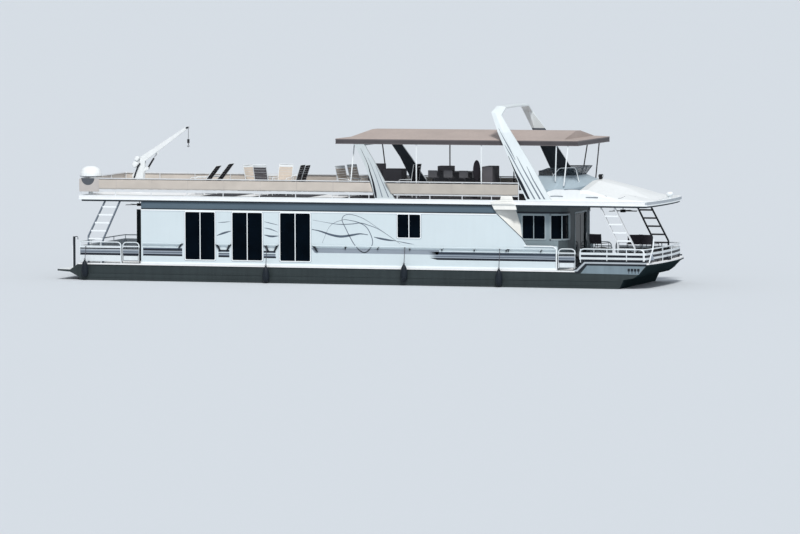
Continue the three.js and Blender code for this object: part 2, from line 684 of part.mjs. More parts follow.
// Canvas round the aft rails, cut at its forward ends to the slope of the arch legs.
function aftCanvas() {
  const { canvasLow, canvasHigh, z0, z1 } = AFT_RAIL;
  const x = AFT_RAIL_X - 24;
  const y = CANVAS_Y;
  const end = x - CANVAS_T;
  const side = sidePlate([[end, z0], [canvasLow, z0], [canvasHigh, z1], [end, z1]], -y - CANVAS_T, -y);
  return fuse(side, mirrored(side), block(end, x, -y - CANVAS_T, y + CANVAS_T, z0, z1));
}

function foreCanvas() {
  const { canvasLow, canvasHigh, z0, z1, x1 } = FORE_RAIL;
  return sidePlate(
    [[canvasLow, z0], [x1 - 10, z0], [x1 - 10, z1], [canvasHigh, z1]], -CANVAS_Y - CANVAS_T, -CANVAS_Y);
}

// Main-deck rail panel in the side plane: frame, panel and top tube.
function railPanel(x0, x1, y, z0) {
  const top = z0 + 790;
  return [
    block(x0, x1, y - 15, y + 15, z0 + 75, z0 + 650),
    ...[x0 + 22, x1 - 26].map((x) => bar([x, y, z0], [x, y, top], 22, 8)),
  ];
}

function sternRail() {
  const z0 = DECK_Z + GAP;
  const top = z0 + 790;
  const y = HALF_BEAM - 40;
  const x = STERN_X + 45;
  const sides = [-1, 1].flatMap((s) => railPanel(x, -9330, s * y, z0));
  const across = [
    block(x - 15, x + 15, -y, y, z0 + 75, z0 + 650),
    ...[-1200, 0, 1200].map((v) => bar([x, v, z0], [x, v, top], 20, 8)),
  ];
  const tube = levelTube([[-9330, -y], [x, -y], [x, y], [-9330, y]], top, 22);
  return fuse(tube, sides, across);
}

function gateLeaf(x0, x1, y, z0) {
  const top = z0 + 800;
  return fuse(
    sidePlate(
      [[x0, z0 + 85], [x1, z0 + 85], [x1, top - 60], [x1 - 60, top], [x0 + 60, top], [x0, top - 60]],
      y - 15, y + 15,
      [rect(x0 + 60, x1 - 60, top - 100, top - 45)]),
    block(x0, x1, y - 22, y + 22, z0 + 600, z0 + 645));
}

// Ladder in the side plane: two bent stringers joined by fore-and-aft treads.
function ladder(y, aft, bow, treads) {
  const y0 = y - 45;
  const y1 = y + 45;
  const runs = [aft, bow].flatMap((pts) => pts.slice(1).map((p, i) => beam(pts[i], p, y0, y1, 46)));
  const xAt = (pts, z) => {
    for (let i = 0; i + 1 < pts.length; i++) {
      const [ax, az] = pts[i];
      const [bx, bz] = pts[i + 1];
      if (z >= Math.min(az, bz) && z <= Math.max(az, bz)) return ax + (bx - ax) * (z - az) / (bz - az);
    }
    return pts[0][0];
  };
  const steps = treads.map((z) => block(xAt(aft, z), xAt(bow, z), y0 + 2, y1 - 2, z - 16, z + 16));
  return meet(fuse(runs, steps), block(STERN_X, BOW_X, -HALF_BEAM, HALF_BEAM, aft[0][1], SOFFIT_Z - GAP));
}

function sternLadder() {
  const z0 = DECK_Z + GAP;
  const top = SOFFIT_Z + 20;
  return ladder(
    -2290, [[-10683, z0], [-10683, 2093], [-10006, top]], [[-10105, z0], [-10105, 1952], [-9417, top]],
    [1390, 1690, 1990, 2290, 2590, 2890, 3190]);
}

function bowLadder(y) {
  const z0 = FORE_DECK_Z + GAP;
  const top = SOFFIT_Z + 20;
  return ladder(
    y, [[9879, z0], [9879, 2097], [9650, 2537], [9208, top]], [[10504, z0], [10504, 1957], [9727, top]],
    [1590, 1890, 2190, 2490, 2790, 3090]);
}

// Bow rail round both sides and the curved front: top tube, posts and two flat bands.
function bowRail() {
  const z0 = FORE_DECK_Z + GAP;
  const y = HALF_BEAM - 45;
  const noseX = BOW_X - 150;
  const path = plan(8440, BOW_CORNER_X - 130, noseX, y);
  const bands = [[1505, 1600], [1655, 1757]].map(([low, high]) => cut(
    flatPlate(plan(8470, BOW_CORNER_X - 118, noseX + 12, y + 12), low, high),
    flatPlate(plan(8460, BOW_CORNER_X - 142, noseX - 12, y - 12), low - 9, high + 9)));
  const posts = [[8482, -y], [9480, -y], [10220, -y], [10850, -y], [noseX, -600], [noseX, 600],
    [10850, y], [10220, y], [9480, y], [8482, y]];
  return fuse(levelTube(path, 1890, 24), bands, posts.map(([x, v]) => bar([x, v, z0], [x, v, 1890], 20, 8)));
}

function craneMast() {
  const lean = (z) => MAST.x + (z - MAST.footZ) / (MAST.topZ - MAST.footZ) * (MAST.topX - MAST.x);
  const foot = bar([MAST.x, 0, MAST.footZ], [MAST.x, 0, MAST.footZ + 40], 160, 16);
  const post = sidePlate([
    [MAST.x - 120, MAST.footZ + 20], [MAST.x + 150, MAST.footZ + 20], [lean(4600) + 130, 4600],
    [lean(4600) - 130, 4600],
  ], -110, 110);
  const cheeks = [-1, 1].map((s) => sidePlate([
    [lean(4560) - 130, 4560], [lean(4560) + 120, 4560],
    [MAST.topX + 90, MAST.topZ + 60], [MAST.topX - 90, MAST.topZ + 60],
  ], s > 0 ? 46 : -62, s > 0 ? 62 : -46));
  const lugs = [-1, 1].map((s) => sidePlate([
    [lean(4430) + 60, 4400], [RAM.lowX + 45, RAM.lowZ - 45],
    [RAM.lowX + 45, RAM.lowZ + 45], [RAM.lowX - 45, RAM.lowZ + 45],
    [lean(4590), 4590],
  ], s > 0 ? 46 : -58, s > 0 ? 58 : -46));
  const winch = bar([lean(4250) - 190, -120, 4250], [lean(4250) - 190, 120, 4250], 110, 12);
  const shelf = block(lean(4250) - 200, lean(4250), -60, 60, 4170, 4210);
  return fuse(foot, post, cheeks, lugs, winch, shelf);
}

function craneBoom() {
  const root = [MAST.topX, MAST.topZ];
  const tip = [BOOM_TIP.x, BOOM_TIP.z];
  const arm = beam([root[0] - 60, root[1] - 40], tip, -36, 36, 230, 90);
  const boss = bar([root[0], -38, root[1]], [root[0], 38, root[1]], 110, 14);
  const lug = sidePlate([
    [RAM.highX - 160, RAM.highZ + 110], [RAM.highX - 40, RAM.highZ - 40], [RAM.highX + 40, RAM.highZ - 40],
    [RAM.highX + 160, RAM.highZ + 260],
  ], -10, 10);
  const nose = [-1, 1].map((s) => sidePlate([
    [tip[0] - 60, tip[1] - 60], [tip[0] + 70, tip[1] - 40],
    [tip[0] + 70, tip[1] + 40], [tip[0] - 60, tip[1] + 20],
  ], s > 0 ? 24 : -36, s > 0 ? 36 : -24));
  return fuse(arm, boss, lug, nose);
}

function craneRam() {
  const dx = RAM.highX - RAM.lowX;
  const dz = RAM.highZ - RAM.lowZ;
  const len = Math.hypot(dx, dz);
  const at = (s) => [RAM.lowX + dx * s / len, 0, RAM.lowZ + dz * s / len];
  const boss = bar([RAM.lowX, -36, RAM.lowZ], [RAM.lowX, 36, RAM.lowZ], 34, 12);
  return cut(fuse(boss, bar(at(10), at(440), 36, 12)), bar(at(60), at(450), 24, 12));
}

function craneRod() {
  const dx = RAM.highX - RAM.lowX;
  const dz = RAM.highZ - RAM.lowZ;
  const len = Math.hypot(dx, dz);
  const at = (s) => [RAM.lowX + dx * s / len, 0, RAM.lowZ + dz * s / len];
  const fork = [-1, 1].map((s) => {
    const [x, , z] = at(len);
    return bar([x, s * 16, z], [x, s * 28, z], 30, 12);
  });
  const [yx, , yz] = at(len - 90);
  const arms = [-28, 16].map((y0) => beam([yx, yz], [RAM.highX, RAM.highZ], y0, y0 + 12, 36));
  const [lowX, , lowZ] = at(len - 112);
  const [highX, , highZ] = at(len - 78);
  const yoke = beam([lowX, lowZ], [highX, highZ], -28, 28, 40);
  return fuse(bar(at(205), at(len - 90), 18, 12), yoke, fork, arms);
}

function craneHook() {
  const x = BOOM_TIP.x + 40;
  const z = BOOM_TIP.z - 70;
  const bend = [[0, 24], [0, 0], [34, -34], [0, -72], [-38, -46], [-42, -20]];
  return fuse(
    bar([x, 0, z + 40], [x, 0, z - 380], 8, 6),
    block(x - 38, x + 38, -26, 26, z - 520, z - 370),
    bar([x, 0, z - 510], [x, 0, z - 600], 12, 8),
    curvedTube(bend.map(([u, w]) => [x + u, 0, z - 590 + w]), 11));
}

function satelliteDome() {
  const z0 = TOP_Z + GAP;
  const x = -10665;
  const y = -2060;
  const profile = [
    [0, 4698], [150, 4690], [270, 4640], [350, 4560], [395, 4440], [408, 4330], [400, 4312], [210, 4300],
    [150, 4260], [90, 4120], [90, z0], [0, z0],
  ];
  const pts = profile.map(([r, z]) => new THREE.Vector2(r, z)).reverse();
  return bare(new THREE.LatheGeometry(pts, 20)).rotateX(Math.PI / 2).translate(x, y, 0);
}

function fanRotor(x) {
  const z = 3165;
  const blades = [0, 1, 2, 3, 4].map((i) => {
    const a = i * 2 * Math.PI / 5;
    const blade = bare(new THREE.BoxGeometry(450, 120, 10)).rotateX(0.2).translate(FAN_R - 225, 0, 0);
    return blade.rotateZ(a).translate(x, 0, z);
  });
  return fuse(bar([x, 0, z - 50], [x, 0, z + 50], 100, 14), blades);
}

function driveUnit(y) {
  const leg = [[-10560, 90], [-10440, 60], [-10380, 200], [-10440, 420], [-10560, 420]];
  const hub = bar([-10800, y, DRIVE.propZ], [-10450, y, DRIVE.propZ], 55, 12, 45);
  const fin = sidePlate([[-10760, 380], [-10430, 380], [-10430, 410], [-10760, 410]], y - 120, y + 120);
  return fuse(
    bar([DRIVE.x, y, 330], [DRIVE.x, y, 600], 80, 16),
    sidePlate(leg, y - 35, y + 35), hub, fin);
}

function propeller(y) {
  const blades = [0, 1, 2].map((i) => {
    const a = i * 2 * Math.PI / 3;
    return bare(new THREE.BoxGeometry(14, 110, 120)).rotateZ(0.5).translate(0, 0, 100).rotateX(a);
  });
  const hub = bare(new THREE.CylinderGeometry(46, 52, 110, 12)).rotateZ(Math.PI / 2);
  return fuse(hub, blades).translate(DRIVE.propX - 12, y, DRIVE.propZ);
}

// Pear-shaped fender hung on a line from the rail above it, resting against the hull side.
function fender({ x, top, lineTop, lineY }) {
  const r = 135;
  const y = -HALF_BEAM - r - 4;
  const profile = [
    [0, 0], [28, -6], [40, -40], [92, -130], [128, -280],
    [r, -400], [118, -520], [70, -612], [30, -650], [0, -655],
  ].map(([radius, drop]) => new THREE.Vector2(radius, drop)).reverse();
  const body = bare(new THREE.LatheGeometry(profile, 14)).rotateX(Math.PI / 2).translate(x, y, top);
  return fuse(body, bar([x, y, top - 12], [x, lineY, lineTop], 9, 6));
}

function searchlight() {
  const z = 4440;
  return fuse(bar([8560, 0, 4290], [8560, 0, z], 28, 8), bar([8500, 0, z], [8640, 0, z], 58, 12));
}

const group = new THREE.Group();
group.name = 'houseboat';

function add(name, geometry, color) {
  geometry.computeVertexNormals();
  const mesh = new THREE.Mesh(geometry, new THREE.MeshStandardMaterial({ color, name }));
  mesh.name = name;
  group.add(mesh);
}

function addPair(name, geometry, color) {
  add(`${name}_starboard`, geometry, color);
  add(`${name}_port`, mirrored(geometry), color);
}

add('hull', hull(), dark);
add('swim_platform', swimPlatform(), dark);
add('main_deck', mainDeck(), white);
addPair('side_wall', sideWall(), pale);
addPair('side_glass', sideGlass(), glassTint);
add('header_band', headerBand(), slate);
add('aft_wall', aftWall(), pale);
add('aft_wall_glass', aftWallGlass(), glassTint);
add('aft_door', aftDoor(), glassTint);
add('forward_cabin', forwardCabin(), pale);
add('forward_glass', forwardGlass(), glassTint);
add('front_door_fixed', doorLeaf(FRONT_X - 30, FRONT_DOOR.y0 + GAP, 245), glassTint);
add('front_door_slider', doorLeaf(FRONT_X - 62, 215, FRONT_DOOR.y1 - 8), glassTint);
add('soffit', soffit(), dark);
add('upper_deck', upperDeck(), white);
add('brow', brow(), white);
add('helm_cowl', helmCowl(), pale);
add('helm_screen', helmScreen(), glassTint);
add('helm_console', helmConsole(), white);
add('helm_wheel', helmWheel(), dark);
add('helm_seat', helmSeat(), pale);
add('bar_counter', barCounter(), pale);
add('hardtop_frame', hardtopFrame(), 0x5d544e);
add('hardtop_cover', hardtopCover(), 0xb79a8c);
add('aft_arch', aftArch(), white);
add('forward_arch', forwardArch(), white);
add('aft_rail', aftRail(), steel);
addPair('fore_rail', foreRail(), steel);
add('aft_canvas', aftCanvas(), canvasTint);
addPair('fore_canvas', foreCanvas(), canvasTint);
add('stern_rail', sternRail(), white);
const sternGate = gateLeaf(-9300, -8612, -HALF_BEAM + 40, DECK_Z + GAP);
addPair('stern_gate', sternGate, white);
const bowGate = gateLeaf(7625, 8300, -HALF_BEAM + 40, DECK_Z + GAP);
addPair('bow_gate', bowGate, white);
add('bow_rail', bowRail(), steel);
add('stern_ladder', sternLadder(), steel);
add('bow_ladder_starboard', bowLadder(-2290), steel);
add('bow_ladder_port', bowLadder(2290), steel);
add('crane_mast', craneMast(), white);
add('crane_boom', craneBoom(), white);
add('crane_ram', craneRam(), dark);
add('crane_rod', craneRod(), steel);
add('crane_hook', craneHook(), steel);
add('satellite_dome', satelliteDome(), white);
add('stern_fan', fanRotor(-9501), dark);
add('bow_fan', fanRotor(9410), dark);
for (const [side, y] of [['starboard', -DRIVE.y], ['port', DRIVE.y]]) {
  add(`drive_${side}`, driveUnit(y), dark);
  add(`propeller_${side}`, propeller(y), steel);
}
const fenderTable = [
  { x: -10730, top: 1215, lineTop: 1700, lineY: -HALF_BEAM - 4 },
  { x: -3575, top: 1100, lineTop: 1832, lineY: -WALL_Y - 72 },
  { x: 1790, top: 1250, lineTop: 1832, lineY: -WALL_Y - 72 },
  { x: 5431, top: 1130, lineTop: 1832, lineY: -WALL_Y - 72 },
];
fenderTable.forEach((row, i) => add(`fender_${i + 1}`, fender(row), dark));

export default group;
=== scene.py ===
import json
import math
import bpy
import bmesh
from mathutils import Matrix, Vector


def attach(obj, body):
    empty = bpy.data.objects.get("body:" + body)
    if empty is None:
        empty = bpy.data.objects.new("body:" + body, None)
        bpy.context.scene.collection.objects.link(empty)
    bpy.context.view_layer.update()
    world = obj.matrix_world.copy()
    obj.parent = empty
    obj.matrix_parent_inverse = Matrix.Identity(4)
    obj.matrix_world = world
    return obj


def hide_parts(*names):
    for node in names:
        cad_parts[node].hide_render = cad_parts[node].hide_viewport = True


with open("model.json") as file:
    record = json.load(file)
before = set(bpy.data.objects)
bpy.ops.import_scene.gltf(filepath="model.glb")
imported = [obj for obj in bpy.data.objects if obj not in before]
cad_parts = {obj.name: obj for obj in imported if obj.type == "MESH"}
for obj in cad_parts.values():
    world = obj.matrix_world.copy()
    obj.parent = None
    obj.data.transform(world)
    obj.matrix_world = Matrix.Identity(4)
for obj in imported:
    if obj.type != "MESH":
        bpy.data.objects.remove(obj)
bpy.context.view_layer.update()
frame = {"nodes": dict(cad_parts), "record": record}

scene = bpy.context.scene
nodes = frame["nodes"]

# Main places and sizes, in metres, in the boat's own frame.
WATER_Z = 0.45
HALF_BEAM = 2.44
DECK_Z = 1.09
FORE_Z = 1.395
WALL_Y = 2.38
WALL_TOP = 3.133
SOFFIT_Z = 3.4
ROOF_Z = 3.475
TOP_Z = 3.625
CABIN_AFT_X = -8.556
FRONT_X = 7.735
FRONT_Y = 1.9
BULWARK_X = 7.6
BULWARK_Z = 1.966
RAIL_Y = 2.395
PANEL_Y = 2.415
HARDTOP = {"aft": -0.997, "bow": 8.298, "y": 2.1, "z0": 5.62, "z1": 5.785}
MAST_X = -9.535
SIDES = {"starboard": -1, "port": 1}


# Camera, lights and world
def back_from(az, el):
    """Direction from the boat towards a camera or a light, from its angles in degrees."""
    a, e = math.radians(az), math.radians(el)
    return Vector((math.sin(a) * math.cos(e), -math.cos(a) * math.cos(e), math.sin(e)))


def make_camera(target, dist, az, el, roll, focal_px, width_px=800):
    back, r = back_from(az, el), math.radians(roll)
    level = Vector((math.cos(math.radians(az)), math.sin(math.radians(az)), 0))
    up = back.cross(level)
    cam = bpy.data.objects.new("camera", bpy.data.cameras.new("camera"))
    scene.collection.objects.link(cam)
    cam.data.sensor_width = 36
    cam.data.lens = focal_px / width_px * cam.data.sensor_width
    cam.data.clip_end = 9000
    turned = (level * math.cos(r) - up * math.sin(r), up * math.cos(r) + level * math.sin(r), back)
    m = Matrix(turned).transposed().to_4x4()
    m.translation = Vector(target) + back * dist
    cam.matrix_world = m
    scene.camera = cam


def sun(name, az, el, strength, angle, color):
    data = bpy.data.lights.new(name, "SUN")
    data.energy = strength
    data.angle = math.radians(angle)
    data.color = color
    ob = bpy.data.objects.new(name, data)
    scene.collection.objects.link(ob)
    ob.rotation_euler = back_from(az, el).to_track_quat("Z", "Y").to_euler()


make_camera((0.8024, 0, 0.9701), 222.84, 18.0, 3.5, 0.2, 6000)
sun("key", 22, 52, 2.6, 12, (1.0, 0.98, 0.95))
sun("fill", 40, 8, 0.35, 30, (0.9, 0.95, 1.0))
scene.world = bpy.data.worlds.new("studio")
scene.world.use_nodes = True
sky = scene.world.node_tree.nodes["Background"].inputs
sky["Color"].default_value = (0.86, 0.92, 1.0, 1)
sky["Strength"].default_value = 0.5
scene.view_settings.view_transform = "Standard"

# Materials, kept by name
MAT = {}


def new_material(name):
    mat = MAT[name] = bpy.data.materials.new(name)
    mat.use_nodes = True
    return mat.node_tree, mat.node_tree.nodes["Principled BSDF"]


def fill(tree, node, inputs):
    """Gives a node's inputs their values, or a link where a socket is given."""
    for key, value in inputs.items():
        if isinstance(value, bpy.types.NodeSocket):
            tree.links.new(value, node.inputs[key])
        else:
            node.inputs[key].default_value = value


def put(tree, kind, inputs=None, output=0, **settings):
    """New node with its settings and inputs; returns one of its outputs."""
    node = tree.nodes.new("ShaderNode" + kind)
    for key, value in settings.items():
        setattr(node, key, value)
    fill(tree, node, inputs or {})
    return node.outputs[output]


def shades(tree, source, color, spread, low=0.3, high=0.7):
    """Colour that drifts a little darker and lighter with a noise value."""
    ramp = tree.nodes.new("ShaderNodeValToRGB")
    for stop, at, sign in zip(ramp.color_ramp.elements, (low, high), (-1, 1)):
        stop.position = at
        stop.color = [min(1, max(0, c * (1 + sign * spread))) for c in color] + [1]
    tree.links.new(source, ramp.inputs[0])
    return ramp.outputs[0]


def finish(name, color, rough=0.4, metal=0.0, spread=0.05, scale=2.0, grain=0.0, grain_scale=80.0,
           stretch=(1, 1, 1), rough_spread=0.12, streaks=0.0, alpha=1.0, spec=0.15):
    """Painted, moulded or metal surface: cloudy colour, uneven gloss, fine grain and run-down streaks."""
    tree, bsdf = new_material(name)
    where = put(tree, "TexCoord", output="Object")
    place = put(tree, "Mapping", {"Vector": where, "Scale": stretch})
    clouds = put(tree, "TexNoise", {"Vector": place, "Scale": scale, "Detail": 6}, "Fac")
    out = shades(tree, clouds, color, spread)
    if streaks:
        down = put(tree, "Mapping", {"Vector": where, "Scale": (5, 5, 0.35)})
        run = put(tree, "TexNoise", {"Vector": down, "Scale": 1.4, "Detail": 8}, "Fac")
        grime = shades(tree, run, (1 - streaks / 2,) * 3, streaks / 2, 0.35, 0.6)
        out = put(tree, "Mix", {0: 1.0, 6: out, 7: grime}, 2, data_type="RGBA", blend_type="MULTIPLY")
    gloss = {"Value": clouds, "To Min": max(0.02, rough * (1 - rough_spread)),
             "To Max": min(1, rough * (1 + rough_spread))}
    fill(tree, bsdf, {"Base Color": out, "Roughness": put(tree, "MapRange", gloss), "Metallic": metal,
                      "Specular IOR Level": spec, "Alpha": alpha})
    if grain:
        fine = put(tree, "TexNoise", {"Vector": place, "Scale": grain_scale, "Detail": 4}, "Fac")
        bump = put(tree, "Bump", {"Strength": grain, "Distance": 0.01, "Height": fine})
        fill(tree, bsdf, {"Normal": bump})
    return name


def woven(name, color, scale=220.0, depth=0.5):
    """Cloth: crossed threads, blotchy fading and sheen."""
    tree, bsdf = new_material(name)
    where = put(tree, "TexCoord", output="Object")
    wave = {"Vector": where, "Scale": scale, "Distortion": 1.5}
    threads = [put(tree, "TexWave", wave, "Fac", bands_direction=axis) for axis in ("X", "Z")]
    crossed = put(tree, "Math", dict(enumerate(threads)), operation="MAXIMUM")
    fade = put(tree, "TexNoise", {"Vector": where, "Scale": 1.6, "Detail": 8}, "Fac")
    bump = put(tree, "Bump", {"Strength": depth, "Distance": 0.003, "Height": crossed})
    fill(tree, bsdf, {"Base Color": shades(tree, fade, color, 0.1, 0.25, 0.75), "Roughness": 0.9,
                      "Sheen Weight": 0.05, "Specular IOR Level": 0.1, "Normal": bump})
    return name


finish("hull_charcoal", (0.036, 0.047, 0.05), 0.45, spread=0.12, scale=1.2, grain=0.03,
       stretch=(0.3, 1, 2), streaks=0.12)
finish("deck_white", (0.84, 0.85, 0.86), 0.55, spread=0.03, grain=0.15, grain_scale=300)
finish("wall_white", (0.62, 0.7, 0.735), 0.35, spread=0.02, scale=0.8, stretch=(0.4, 1, 1), streaks=0.015)
finish("window_glass", (0.001, 0.003, 0.006), 0.08, spread=0.3, spec=0.02)
finish("slate_band", (0.095, 0.135, 0.17), 0.5, spread=0.06, scale=0.7)
# Soffits: dark as painted shade on the undersides of the overhangs
finish("soffit_dark", (0.05, 0.06, 0.07), 0.7, spread=0.1, grain=0.1)
finish("moulding_white", (0.82, 0.85, 0.86), 0.3, spread=0.02, scale=1.0, streaks=0.03)
finish("cowl_pale", (0.4, 0.49, 0.55), 0.35, spread=0.04)
finish("rail_metal", (0.78, 0.8, 0.82), 0.3, metal=0.4, spread=0.04, grain=0.05)
finish("panel_white", (0.69, 0.74, 0.77), 0.35, spread=0.03, streaks=0.05)
woven("canvas", (0.55, 0.5, 0.45))
finish("fascia_brown", (0.08, 0.073, 0.078), 0.5, spread=0.1, grain=0.08)
finish("hardtop_tan", (0.43, 0.365, 0.335), 0.6, spread=0.06, scale=0.9, grain=0.1, grain_scale=120,
       streaks=0.06)
finish("crane_white", (0.82, 0.85, 0.86), 0.3, spread=0.03, streaks=0.05)
finish("ram_dark", (0.03, 0.032, 0.036), 0.4, spread=0.1, grain=0.05)
finish("rod_steel", (0.62, 0.63, 0.65), 0.2, metal=1.0, grain=0.03)
finish("seat_vinyl", (0.6, 0.55, 0.5), 0.5, grain=0.25, grain_scale=150)
finish("black_plastic", (0.018, 0.019, 0.022), 0.5, spread=0.1, grain=0.1)
finish("bar_white", (0.12, 0.12, 0.13), 0.4, grain=0.08)
finish("drive_dark", (0.02, 0.022, 0.025), 0.4, spread=0.1)
finish("door_glass", (0.012, 0.018, 0.022), 0.08, spread=0.2, spec=0.1)
finish("fender_vinyl", (0.013, 0.018, 0.025), 0.45, spread=0.15, grain=0.1, grain_scale=60)
finish("shaded_wall", (0.24, 0.3, 0.33), 0.45, spread=0.03)
# Grey for the bow board, and painted shade on the forward faces of the deck's nose
finish("sill_grey", (0.42, 0.46, 0.5), 0.4, spread=0.03)
finish("shaded_trim", (0.3, 0.36, 0.39), 0.45, spread=0.04)
finish("arch_white", (0.72, 0.78, 0.8), 0.3, spread=0.02, streaks=0.03)
# Darker copy of arch_white for the aft arch: painted shade
finish("aft_arch_shaded_white", (0.52, 0.57, 0.59), 0.3, spread=0.02, streaks=0.03)
finish("bow_shade", (0.018, 0.03, 0.034), 0.9, spread=0.12, streaks=0.1, spec=0.0)
finish("deep_shade", (0.075, 0.095, 0.105), 0.5)
finish("arch_shade", (0.075, 0.09, 0.11), 0.5)
finish("stripe_black", (0.016, 0.02, 0.028), 0.4, spread=0.1)
finish("stripe_grey", (0.27, 0.31, 0.36), 0.4, spread=0.04)
finish("stripe_slate", (0.09, 0.115, 0.15), 0.4)
finish("line_grey", (0.16, 0.19, 0.23), 0.45, spread=0.06)
finish("trim_white", (0.84, 0.88, 0.9), 0.3, spread=0.02)
finish("trim_dark", (0.02, 0.025, 0.032), 0.5, spread=0.1, grain=0.06)
finish("cream", (0.86, 0.86, 0.82), 0.4, spread=0.03, streaks=0.05)
woven("rope", (0.1, 0.1, 0.115), scale=90.0, depth=0.9)
woven("seat_dark", (0.022, 0.02, 0.025), scale=120.0)
finish("seat_tan", (0.66, 0.58, 0.5), 0.6, spread=0.08, grain=0.2)
finish("seat_grey", (0.12, 0.115, 0.125), 0.6, spread=0.08, grain=0.2)
finish("screen_tint", (0.05, 0.07, 0.085), 0.05, spread=0.15, scale=3.0, rough_spread=0.6, alpha=0.45,
       spec=0.3)

slot_of = {s["node"]: s["material_slot"] for s in frame["record"]["subparts"]}
# The port bow ladder in trim_dark is painted shade on the far ladder
RECOLOURED_AND_SHADED = {"helm_screen": "screen_tint", "bow_ladder_port": "trim_dark", "stern_ladder": "line_grey"}
for name, ob in nodes.items():
    ob.data.materials.clear()
    ob.data.materials.append(MAT[RECOLOURED_AND_SHADED.get(name, slot_of[name])])


def second_coat(name, first, second, covers):
    """Second material on the faces that covers(centre, normal) picks."""
    mesh = nodes[name].data
    place = nodes[name].matrix_world
    mesh.materials[0] = MAT[first]
    mesh.materials.append(MAT[second])
    for poly in mesh.polygons:
        poly.material_index = int(covers(place @ poly.center, place.to_3x3() @ poly.normal))


def inner_side(c, n):
    return n.y * (1 if c.y > 0 else -1) < -0.3 and c.z < 6.0


# Forward faces of the deck's undercut nose, which take grey as painted shade
def deck_nose_in_shade(c, n):
    return c.x > 10.9 and n.x > 0.2 and c.z < TOP_Z - 0.01


second_coat("forward_cabin", "shaded_wall", "deep_shade", lambda c, n: c.x > 7.0 and n.x > 0.4)
second_coat("forward_arch", "arch_white", "arch_shade", inner_side)
# The aft arch in its darker white: painted shade
second_coat("aft_arch", "aft_arch_shaded_white", "arch_shade", inner_side)
second_coat("upper_deck", "deck_white", "sill_grey", deck_nose_in_shade)
second_coat("hull", "hull_charcoal", "bow_shade", lambda c, n: c.x > 9.6 and n.x > 0.15)
# Starboard posts of the hardtop frame in trim_white; the port posts stay dark brown as painted shade
second_coat("hardtop_frame", "fascia_brown", "trim_white", lambda c, n: c.y < 0 and c.z < 5.58)

# Mesh building: how an outline's two values and the place along an axis become X, Y and Z
AXES = {"x": lambda a, b, t: (t, a, b), "y": lambda a, b, t: (a, t, b), "z": lambda a, b, t: (a, b, t)}


def circle(count, r=1.0):
    return [(r * math.cos(k * math.tau / count), r * math.sin(k * math.tau / count)) for k in range(count)]


def mesh_object(name, me, mat):
    me.materials.append(MAT[mat])
    for poly in me.polygons:
        poly.use_smooth = True
    ob = bpy.data.objects.new(name, me)
    scene.collection.objects.link(ob)
    return ob


class Part:
    """Closed shapes gathered into one mesh, then made into an object that rides on a body."""

    def __init__(self):
        self.verts, self.faces = [], []

    def add(self, verts, faces):
        k = len(self.verts)
        self.verts += [tuple(p) for p in verts]
        self.faces += [tuple(i + k for i in f) for f in faces]
        return self

    def rings(self, rings, closed=False):
        """Skin over rings of points that all have the same count."""
        n, m = len(rings[0]), len(rings)
        faces = []
        for r in range(m if closed else m - 1):
            a, b = r * n, (r + 1) % m * n
            faces += [(a + i, a + (i + 1) % n, b + (i + 1) % n, b + i) for i in range(n)]
        if not closed:
            faces += [tuple(range(n))[::-1], tuple((m - 1) * n + i for i in range(n))]
        return self.add([p for ring in rings for p in ring], faces)

    def prism(self, outline, lo, hi, axis="y"):
        """Flat outline made thick along one axis."""
        return self.rings([[AXES[axis](a, b, t) for a, b in outline] for t in (lo, hi)])

    def box(self, x0, x1, y0, y1, z0, z1):
        return self.prism([(x0, y0), (x1, y0), (x1, y1), (x0, y1)], z0, z1, "z")

    def frame(self, outer, inner, lo, hi, axis="y", closed=True):
        """Plate or strip between two outlines with the same count of points."""
        place = AXES[axis]
        return self.rings([[place(*o, lo), place(*i, lo), place(*i, hi), place(*o, hi)]
                           for o, i in zip(outer, inner)], closed)

    def tube(self, path, r, sides=8, closed=False):
        """Round tube along points, kept from twisting."""
        pts = [Vector(p) for p in path]
        before = [pts[-1] if closed else pts[0], *pts[:-1]]
        after = [*pts[1:], pts[0] if closed else pts[-1]]
        side = (after[0] - before[0]).normalized().orthogonal().normalized()
        rings = []
        for a, p, b in zip(before, pts, after):
            t = (b - a).normalized()
            side = (side - t * side.dot(t)).normalized()
            up = t.cross(side)
            rings.append([p + (side * c + up * s) * r for c, s in circle(sides)])
        return self.rings(rings, closed)

    def tubes(self, paths, r, sides=8):
        for path in paths:
            self.tube(path, r, sides)
        return self

    def lathe(self, profile, centre, sides=24, axis="z"):
        """Round body from (radius, height) pairs about an axis through centre."""
        place, middle = AXES[axis], Vector(centre)
        return self.rings([[middle + Vector(place(c, s, h)) for c, s in circle(sides, max(r, 1e-4))]
                           for r, h in profile])

    def flipped(self):
        """The same shapes on the other side of the boat."""
        return Part().add([(x, -y, z) for x, y, z in self.verts], self.faces)

    def make(self, name, mat, body="boat", bevel=0.0, crease=35, replaces=(), subdivide=0):
        bm = bmesh.new()
        vs = [bm.verts.new(v) for v in self.verts]
        for f in self.faces:
            bm.faces.new([vs[i] for i in f])
        bmesh.ops.remove_doubles(bm, verts=bm.verts, dist=1e-5)
        bmesh.ops.recalc_face_normals(bm, faces=bm.faces)
        me = bpy.data.meshes.new(name)
        bm.to_mesh(me)
        bm.free()
        ob = mesh_object(name, me, mat)
        me.set_sharp_from_angle(angle=math.radians(crease))
        if bevel:
            mod = ob.modifiers.new("edges", "BEVEL")
            mod.width = bevel
            mod.segments = 2
            mod.limit_method = "ANGLE"
            mod.angle_limit = math.radians(40)
        if subdivide:
            mod = ob.modifiers.new("smooth", "SUBSURF")
            mod.levels = mod.render_levels = subdivide
        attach(ob, body)
        if replaces:
            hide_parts(*replaces)
        return ob


